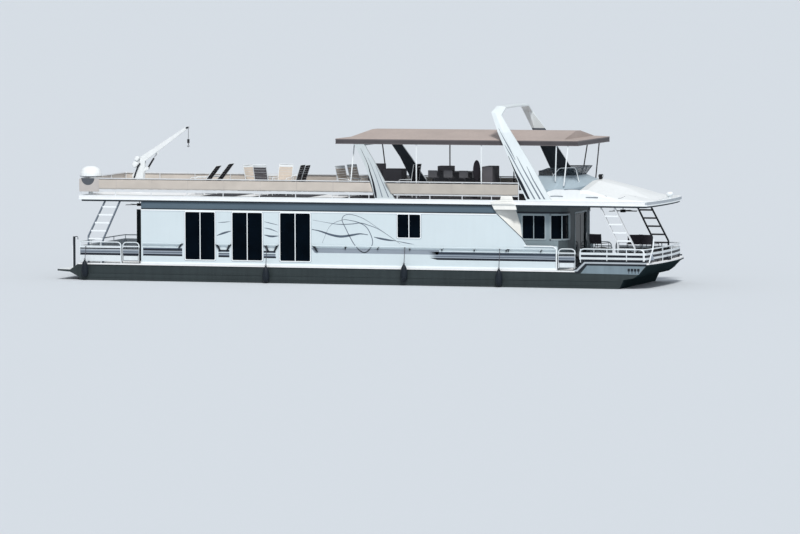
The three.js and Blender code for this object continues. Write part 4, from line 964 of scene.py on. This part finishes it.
# Helm: screen frame, grab rail and instruments
SCREEN_FOOT = [(6.575, 1.292), (7.394, 1.192), (7.706, 0.868), (7.842, 0.512), (7.872, 0.198)]
SCREEN_TOP = [(6.6, 1.245, 4.64), (6.88, 1.13, 4.75), (7.62, 1.1, 4.76), (7.93, 1.04, 4.768),
              (7.96, 0.3, 4.775)]


def around(half):
    """Starboard points carried round the front to port."""
    return [(x, -y, z) for x, y, z in half] + half[::-1]


@piece(finish("frame_grey", (0.1, 0.12, 0.14), 0.35, metal=0.4, spread=0.08))
def screen_frame(part):
    low, high = around([(x, y, 4.484) for x, y in SCREEN_FOOT]), around(SCREEN_TOP)
    part.tube(low, 0.016)
    part.tube(high, 0.018)
    part.tubes([[low[k], high[k]] for k in (0, 1, 3, 4, 5, 6, 8, 9)], 0.014)


@piece("trim_white")
def helm_grab_rail(part):
    path = [(7.1, -1.26, 4.47), (7.34, -1.2, 4.765), (7.93, -1.14, 4.79), (8.09, -1.2, 4.25)]
    part.tube(rounded(path, 0.08), 0.014)


@piece("black_plastic", bevel=0.003)
def helm_instruments(part):
    lean = math.radians(33.7)
    for y, r in ((-0.34, 0.05), (-0.17, 0.05), (0, 0.07), (0.17, 0.05), (0.34, 0.05)):
        ring = [(7.465 + s * math.cos(lean), y + c, 4.354 + s * math.sin(lean)) for c, s in circle(16, r)]
        part.rings([ring, [(px - 0.01, py, pz + 0.015) for px, py, pz in ring]])
    part.box(7.61, 7.7, 0.28, 0.48, 4.43, 4.5)
    part.tube([(7.4, -0.46, 4.3), (7.35, -0.46, 4.45)], 0.014, 8)


# Flanges at the feet of the hardtop's posts, and the pads of the seats
@piece("rod_steel")
def post_flanges(part):
    profile = [(0.0, 0), (0.06, 0), (0.06, 0.01), (0.034, 0.02), (0.034, 0.07), (0.0, 0.07)]
    for x, y in ((2.112, -2.05), (2.112, 2.05), (4.608, -2.05), (4.608, 2.05)):
        part.lathe(profile, (x, y, TOP_Z + 0.001), 16)


def cushion(name, centre, size, mat, turn=0.0, channels=3):
    """Crowned pad: sides pull in between the corners, with sewn channels across the top."""
    sx, sy, sz = (v / 2 for v in size)
    n = 22
    row, layer = n + 1, (n + 1) ** 2
    grid = [(i / n * 2 - 1, j / n * 2 - 1) for i in range(row) for j in range(row)]
    verts, faces = [], []
    for top in (True, False):
        for a, b in grid:
            edge = (1 - abs(a) ** 6) * (1 - abs(b) ** 6)
            seam = 0.05 * math.exp(-(((b + 1) / 2 * channels % 1 - 0.5) ** 2) / 0.003)
            z = 0.35 + 0.65 * edge ** 0.45 - seam * edge if top else -0.35 - 0.5 * edge ** 0.4
            verts.append((a * sx * (1 - 0.035 * (1 - b * b)), b * sy * (1 - 0.035 * (1 - a * a)), sz * z))
    for k in (i * row + j for i in range(n) for j in range(n)):
        faces.append((k, k + 1, k + row + 1, k + row))
        faces.append((layer + k, layer + k + row, layer + k + row + 1, layer + k + 1))
    rim = [i * row for i in range(n)] + [n * row + j for j in range(n)]
    rim += [i * row + n for i in range(n, 0, -1)] + list(range(n, 0, -1))
    faces += [(a, b, layer + b, layer + a) for a, b in zip(rim, rim[1:] + rim[:1])]
    rot = Matrix.Rotation(turn, 4, "Y")
    part = Part().add([Vector(centre) + rot @ Vector(v) for v in verts], faces)
    ob = part.make(name, mat, crease=60, subdivide=1)


BACK_LEAN = math.radians(-80)
for i, y in enumerate((-0.34, 0.34)):
    cushion(f"helm_seat_pad_{i + 1}", (6.68, y, 4.2), (0.46, 0.62, 0.11), "seat_vinyl")
    cushion(f"helm_back_pad_{i + 1}", (6.475, y, 4.43), (0.4, 0.62, 0.1), "seat_vinyl", turn=BACK_LEAN)


# Deck chairs, which stand on the dark mats of the upper deck
SHADE_MAT_TOP = TOP_Z + 0.006


def placed(x, y, z, yaw):
    """Maps forward, sideways and up, from a spot and a heading, into the boat's frame."""
    c, s = math.cos(math.radians(yaw)), math.sin(math.radians(yaw))
    return lambda u, v, w: (x + u * c - v * s, y + u * s + v * c, z + w)


def panel(part, place, line, wide, thick, sag=0.0):
    """Cloth or strap panel that follows a line of (forward, up) points and hollows across its width."""
    steps = 6
    for (u0, w0), (u1, w1) in zip(line, line[1:]):
        length = math.hypot(u1 - u0, w1 - w0)
        nu, nw = (w1 - w0) / length, -(u1 - u0) / length
        corners = ((u0, w0, thick), (u1, w1, thick), (u1, w1, -thick), (u0, w0, -thick))
        rings = []
        for k in range(steps + 1):
            v = wide * (k / steps - 0.5)
            low = -sag * (1 - (2 * k / steps - 1) ** 2)
            rings.append([place(u + nu * (low + t / 2), v, w + nw * (low + t / 2)) for u, w, t in corners])
        part.rings(rings)


def chair(frame_part, bands, x, y, yaw, lean, back, wide, pale_top):
    """Strapped garden chair: bent side frames, and bands across seat and back."""
    place = placed(x, y, SHADE_MAT_TOP, yaw)
    seat, foot = 0.42, (-0.22, 0.4)
    du, dw = -math.sin(math.radians(lean)) * back, math.cos(math.radians(lean)) * back

    def up_back(t):
        return foot[0] + du * t, foot[1] + dw * t

    head = up_back(1)
    for v in (-wide / 2, wide / 2):
        side = [(0.26, 0.0), (0.25, seat + 0.02), foot, head]
        arm = [(0.25, seat), (0.25, seat + 0.22), (-0.24 + du * 0.3, seat + 0.24)]
        frame_part.tube(rounded([place(u, v, w) for u, w in side], 0.06, 3), 0.014, 6)
        frame_part.tube([place(-0.3, v, 0.0), place(-0.2, v, seat - 0.01)], 0.013, 6)
        frame_part.tube(rounded([place(u, v, w) for u, w in arm], 0.05, 3), 0.014, 6)
    frame_part.tube([place(head[0], v, head[1]) for v in (-wide / 2, wide / 2)], 0.014, 6)
    for k in range(5):
        u = 0.22 - k * 0.085
        panel(bands, place, [(u, seat + 0.012), (u - 0.075, seat + 0.008)], wide, 0.008, -0.012)
    rows = 8
    for k in range(rows):
        cover = frame_part if pale_top and k == rows - 1 else bands
        panel(cover, place, [up_back((k + 0.06) / rows), up_back((k + 0.96) / rows)], wide, 0.01, 0.015)


CHAIRS = [  # x, y, heading and lean of the back in degrees, back's length, width, covering
    (-6.72, -1.0, 180, 38, 0.86, 0.6, "dark"), (-6.49, -0.35, 180, 38, 0.93, 0.6, "dark"),
    (-4.93, 0.2, -20, 14, 0.68, 0.56, "tan"), (-4.2, -0.85, 80, 14, 0.76, 0.56, "grey"),
    (-3.5, -0.92, 265, 14, 0.76, 0.56, "tan"), (-3.7, 0.8, 180, 18, 0.69, 0.56, "dark"),
    (-3.71, 1.45, 180, 18, 0.65, 0.56, "dark"), (-0.86, -1.0, -20, 16, 0.74, 0.56, "tan"),
    (-0.62, -0.3, -20, 16, 0.76, 0.56, "tan"), (1.45, -0.9, 170, 10, 0.82, 0.6, "dark"),
]
frames, seats = Part(), {"dark": Part(), "tan": Part(), "grey": Part()}
for *where, cover in CHAIRS:
    chair(frames, seats[cover], *where, cover != "dark")
frames.make("deck_chair_frames", "trim_white")
for cover, bands in seats.items():
    bands.make(f"deck_chair_bands_{cover}", f"seat_{cover}")


# Folding chairs on the fore deck: bars as (forward, up) points
FOLDING_BARS = [((-0.22, 0), (0.22, 0.44)), ((0.22, 0), (-0.22, 0.44)), ((-0.22, 0.4), (-0.27, 0.99)),
                ((-0.24, 0.64), (0.22, 0.64)), ((0.22, 0.44), (0.22, 0.64))]


def folding_chair(frame_part, cloth, x, y, yaw):
    place = placed(x, y, FORE_Z + 0.001, yaw)
    half = 0.26
    for v in (-half, half):
        for bar in FOLDING_BARS:
            frame_part.tube([place(u, v, w) for u, w in bar], 0.012, 6)
    for v in (-half, half):
        frame_part.tube([place(0.22, v, 0.01), place(0.22, -v, 0.44)], 0.012, 6)
    panel(cloth, place, [(0.22, 0.45), (0.0, 0.43), (-0.22, 0.45)], 2 * half, 0.006, -0.03)
    panel(cloth, place, [(-0.245, 0.62), (-0.27, 0.98)], 2 * half, 0.006, 0.03)


folding_frames, folding_cloth = Part(), Part()
for x, y, yaw in ((8.8, -1.0, 70), (10.13, -1.0, 110), (10.7, -1.0, 75)):
    folding_chair(folding_frames, folding_cloth, x, y, yaw)
folding_frames.make("folding_chair_frames", "trim_dark")
folding_cloth.make("folding_chair_cloth", "seat_dark")


# Low table on the upper deck
@piece("trim_white", bevel=0.004)
def deck_table(part):
    x, y = -3.98, 0.1
    part.prism(rounded_rect(x - 0.46, x + 0.46, y - 0.3, y + 0.3, 0.08), TOP_Z + 0.68, TOP_Z + 0.72, "z")
    for sx, sy in ((-1, -1), (-1, 1), (1, -1), (1, 1)):
        foot = (x + sx * 0.38, y + sy * 0.23, SHADE_MAT_TOP)
        part.tube([foot, (x + sx * 0.34, y + sy * 0.2, TOP_Z + 0.69)], 0.018, 8)


# Lounge seats, a counter and an oval-backed seat under the hardtop
@piece("seat_grey", bevel=0.02)
def lounge_base(part):
    for *sides, high in (
            (-0.33, 0.34, -0.9, -0.3, 0.36), (-0.33, 0.34, -0.32, -0.18, 1.2), (0.44, 1.1, -0.75, -0.2, 0.98),
            (0.4, 1.14, -0.79, -0.16, 1.02), (4.74, 5.4, -1.5, -0.6, 0.36), (4.46, 4.86, -1.5, -0.6, 1.18)):
        part.box(*sides, SHADE_MAT_TOP, TOP_Z + high)
    part.box(2.47, 3.02, -0.62, -0.2, 4.572, 4.77)


@piece("seat_dark", bevel=0.008)
def oval_seat(part):
    x, y = 4.3, -1.62
    part.prism([(x + 0.14 * c, 4.66 + 0.39 * s) for c, s in circle(24, 1)], y - 0.02, y + 0.02)
    part.tube([(x, y, TOP_Z + 0.01), (x, y, 4.34)], 0.02, 8)
    part.lathe([(0.0, SHADE_MAT_TOP), (0.17, SHADE_MAT_TOP), (0.15, TOP_Z + 0.03), (0.0, TOP_Z + 0.04)], (x, y, 0), 18)


for i, (x, y, sx, sy) in enumerate(((0.0, -0.62, 0.62, 0.52), (5.14, -1.05, 0.5, 0.86))):
    cushion(f"lounge_pad_{i + 1}", (x, y, TOP_Z + 0.42), (sx, sy, 0.14), "seat_dark")


# Crane dressing: winch covers, feed tube, foot bolts and boom cap
@piece("crane_white", "crane_mast", bevel=0.004)
def crane_winch_covers(part):
    for x, z, r in ((-9.57, 4.9, 0.09), (-9.64, 4.68, 0.12)):
        profile = [(0.0, -0.13), (r * 0.8, -0.125), (r, -0.09), (r, 0.09), (r * 0.8, 0.125), (0.0, 0.13)]
        part.lathe(profile, (x, 0, z), 18, "y")
    part.box(-9.66, -9.5, -0.05, 0.05, 4.62, 4.92)


@piece("trim_dark", "crane_mast")
def crane_feed_tube(part):
    path = [(-9.44, -0.09, 4.72), (-9.5, -0.13, 4.6), (-9.58, -0.14, 4.4), (-9.66, -0.14, 4.15),
            (-9.68, -0.14, 3.9)]
    part.tube(smooth_curve(path), 0.03, 10)


@piece("rod_steel", "crane_mast")
def crane_foot_bolts(part):
    for c, s in circle(8, 0.14):
        part.lathe([(0.0, 0), (0.018, 0), (0.018, 0.018), (0.0, 0.022)], (MAST_X + c, s, 3.792), 6)


@piece("trim_dark", "crane_boom", bevel=0.004)
def crane_boom_cap(part):
    """Dark cheeks over the boom's tip."""
    outline = [(-0.05, -0.052), (0.062, -0.036), (0.062, 0.036), (-0.05, 0.014)]
    part.prism([(-7.569 + a, 6.087 + b) for a, b in outline], -0.042, 0.042)


# Dome: its bowl underneath, grey as painted shade
@piece(finish("dome_underside_shade", (0.16, 0.18, 0.2), 0.5, spread=0.06))
def dome_bowl(part):
    profile = [(0.0, 4.296), (0.2, 4.298), (0.33, 4.303), (0.402, 4.31), (0.41, 4.322), (0.41, 4.332)]
    part.lathe([*profile, (0.39, 4.34), (0.0, 4.33)], (-10.665, -2.06, 0), 36)


# Cover over the aft corner of the rail, under the dome, and a dark half-disc on it: painted shade of the
# dome's underside
@piece(woven("corner_cloth", (0.5, 0.47, 0.45)))
def corner_cover(part):
    y = -RAIL_Y - 0.036
    part.prism([(-10.985, 3.76), (-10.2, 3.76), (-10.2, 4.235), (-10.985, 4.235)], y - 0.004, y + 0.001)


@piece(finish("dome_shade_grey", (0.09, 0.1, 0.115), 0.7, spread=0.1, grain=0.1))
def dome_shade_disc(part):
    disc = circle(32, 0.26)
    part.prism([(-10.64 + c, 4.26 + s) for c, s in (*disc[16:], disc[0])], -RAIL_Y - 0.044, -RAIL_Y - 0.038)


# Nose fairing: seams, lamp and searchlight
@piece("line_grey")
def brow_seams(part):
    for r, *points in (
            (0.014, (7.33, -2.334, 3.79), (7.55, -2.334, 3.8), (7.8, -2.334, 3.79)),
            (0.016, (8.67, -2.326, 3.76), (8.9, -2.327, 3.765), (9.12, -2.325, 3.76)),
            (0.007, (9.31, -2.25, 3.83), (9.43, -2.25, 3.81), (9.47, -2.3, 3.74)),
            (0.007, (9.57, -2.31, 3.68), (9.6, -2.25, 3.74)),
            (0.012, (9.85, -2.16, 3.727), (9.94, -2.0, 3.745), (9.985, -1.7, 3.79)),
            (0.008, (10.03, -1.66, 3.79), (10.3, -1.41, 3.785)),
            (0.014, (7.85, -2.334, 4.04), (8.2, -2.3, 4.045), (8.42, -2.25, 4.04))):
        part.tube(smooth_curve(points, 5), r, 6)


@piece("trim_white")
def bow_lamp(part):
    profile = [(0.0, 3.627), (0.045, 3.627), (0.04, 3.7), (0.08, 3.715), (0.115, 3.75), (0.126, 3.8)]
    part.lathe([*profile, (0.118, 3.835), (0.08, 3.862), (0.0, 3.87)], (11.085, 0.4, 0), 24)


LIGHT = (8.565, 0, 4.44)  # middle of the searchlight


@piece("black_plastic", bevel=0.003)
def searchlight_hood(part):
    """Black hood round the lamp on the nose fairing; the lens is a piece of its own."""
    profile = [(0.0, -0.085), (0.05, -0.08), (0.066, -0.05), (0.068, 0.08), (0.06, 0.085), (0.058, 0.06)]
    part.lathe([*profile, (0.0, 0.06)], LIGHT, 20, "x")
    part.box(8.51, 8.61, -0.075, 0.075, 4.325, 4.39)


@piece("trim_white")
def searchlight_lens(part):
    part.lathe([(0.0, 0.062), (0.055, 0.062), (0.052, 0.075), (0.0, 0.082)], LIGHT, 20, "x")


# Stern: pale pads on the platform, and the boarding post that stands on it
@piece("trim_white")
def platform_pads(part):
    outline = [(-11.1, 1.037), (-11.1, 1.041), (-11.128, 1.041), (-11.428, 0.828), (-11.91, 0.841),
               (-11.91, 0.836), (-11.43, 0.822), (-11.12, 1.036)]
    for y in (-1.15, 1.15):
        part.prism(outline, y - 1.12, y + 1.12)


POST_Y = -2.2


@piece("trim_dark", bevel=0.006)
def boarding_post(part):
    hook = [(-11.28, 2.03), (-11.19, 2.07), (-11.14, 2.03), (-11.145, 1.95)]
    part.box(-11.325, -11.255, POST_Y - 0.035, POST_Y + 0.035, 0.9, 2.06)
    part.tube(rounded([(x, POST_Y, z) for x, z in hook], 0.04), 0.014, 8)


@piece("trim_white", bevel=0.003)
def boarding_post_edge(part):
    part.box(-11.352, -11.325, POST_Y - 0.03, POST_Y + 0.03, 0.885, 1.72)


# Dark mats on the upper deck, coloured as painted shade under the hardtop and the chairs
@piece(woven("deck_shade_mat", (0.05, 0.05, 0.058), scale=60.0))
def deck_shade_mats(part):
    for x0, x1 in ((-6.3, -4.95), (-4.25, -2.05), (-0.75, 6.3)):
        part.prism(rounded_rect(x0, x1, -2.25, 2.25, 0.04), TOP_Z + 0.001, SHADE_MAT_TOP, "z")


# Ladder treads: pads over each step, pale, and grey on the port bow ladder as painted shade
STERN_AFT = [(-10.683, DECK_Z), (-10.683, 2.093), (-10.006, 3.42)]
STERN_BOW = [(-10.105, DECK_Z), (-10.105, 1.952), (-9.417, 3.42)]
BOW_AFT = [(9.879, FORE_Z), (9.879, 2.097), (9.65, 2.537), (9.208, 3.42)]
BOW_BOW = [(10.504, FORE_Z), (10.504, 1.957), (9.727, 3.42)]


def x_at(path, z):
    for (ax, az), (bx, bz) in zip(path, path[1:]):
        if az <= z <= bz:
            return ax + (bx - ax) * (z - az) / (bz - az)
    return path[0][0]


def treads(aft, bow, first, count):
    """Pads 0.3 m apart over the steps of a starboard ladder."""
    part = Part()
    for z in (first + 0.3 * k for k in range(count)):
        part.box(x_at(aft, z) + 0.02, x_at(bow, z) - 0.02, -2.34, -2.24, z - 0.028, z + 0.03)
    return part


bow_pads = treads(BOW_AFT, BOW_BOW, 1.59, 6)
treads(STERN_AFT, STERN_BOW, 1.39, 7).make("stern_treads", "trim_white", bevel=0.004)
bow_pads.make("bow_treads_starboard", "trim_white", bevel=0.004)
# Port bow treads in grey: painted shade on the far ladder
bow_pads.flipped().make("bow_treads_port_shaded", "seat_grey", bevel=0.004)


# Fenders: round bodies on lines with rope loops
FENDER_Y = -HALF_BEAM - 0.139
FENDERS = [  # x, top of the body, top and y of the line
    (-10.73, 1.215, 1.7, -2.444), (-3.575, 1.1, 1.832, -2.452), (1.79, 1.25, 1.832, -2.452),
    (5.431, 1.13, 1.832, -2.452),
]
PROFILE = [  # radius, height under the top of the body
    (0.0, 0), (0.026, -0.004), (0.034, -0.03), (0.06, -0.06), (0.092, -0.13), (0.118, -0.22), (0.131, -0.32),
    (0.135, -0.4), (0.13, -0.47), (0.112, -0.54), (0.085, -0.59), (0.066, -0.615), (0.036, -0.62),
    (0.03, -0.652), (0.0, -0.655),
]
for i, (x, top, line_top, line_y) in enumerate(FENDERS):
    body = Part().lathe([(r, top + d) for r, d in PROFILE], (x, FENDER_Y, 0), 28)
    body.make(f"fender_body_{i + 1}", "fender_vinyl", replaces=(f"fender_{i + 1}",))
    rope = Part().tube([(x, FENDER_Y, top - 0.02), (x, line_y, line_top)], 0.011, 8)
    rope.tube([(x + c, FENDER_Y, top + 0.006 + s) for c, s in circle(12, 0.034)], 0.009, 6, closed=True)
    rope.tube([(x, line_y - 0.02, line_top - 0.02), (x, line_y - 0.02, line_top + 0.02)], 0.02, 8)
    rope.make(f"fender_line_{i + 1}", "rope")


# Floor at the waterline
FLOOR = (-4000, 4000, -4000, 6000)  # X and Y that it reaches


def floor_plane():
    tree, bsdf = new_material("floor")
    fill(tree, bsdf, {"Base Color": (0.62, 0.66, 0.7, 1), "Roughness": 0.9})
    me = bpy.data.meshes.new("floor")
    me.from_pydata([(x, y, WATER_Z) for x, y in rect(*FLOOR)], [], [(0, 1, 2, 3)])
    ob = mesh_object("floor", me, "floor")


floor_plane()
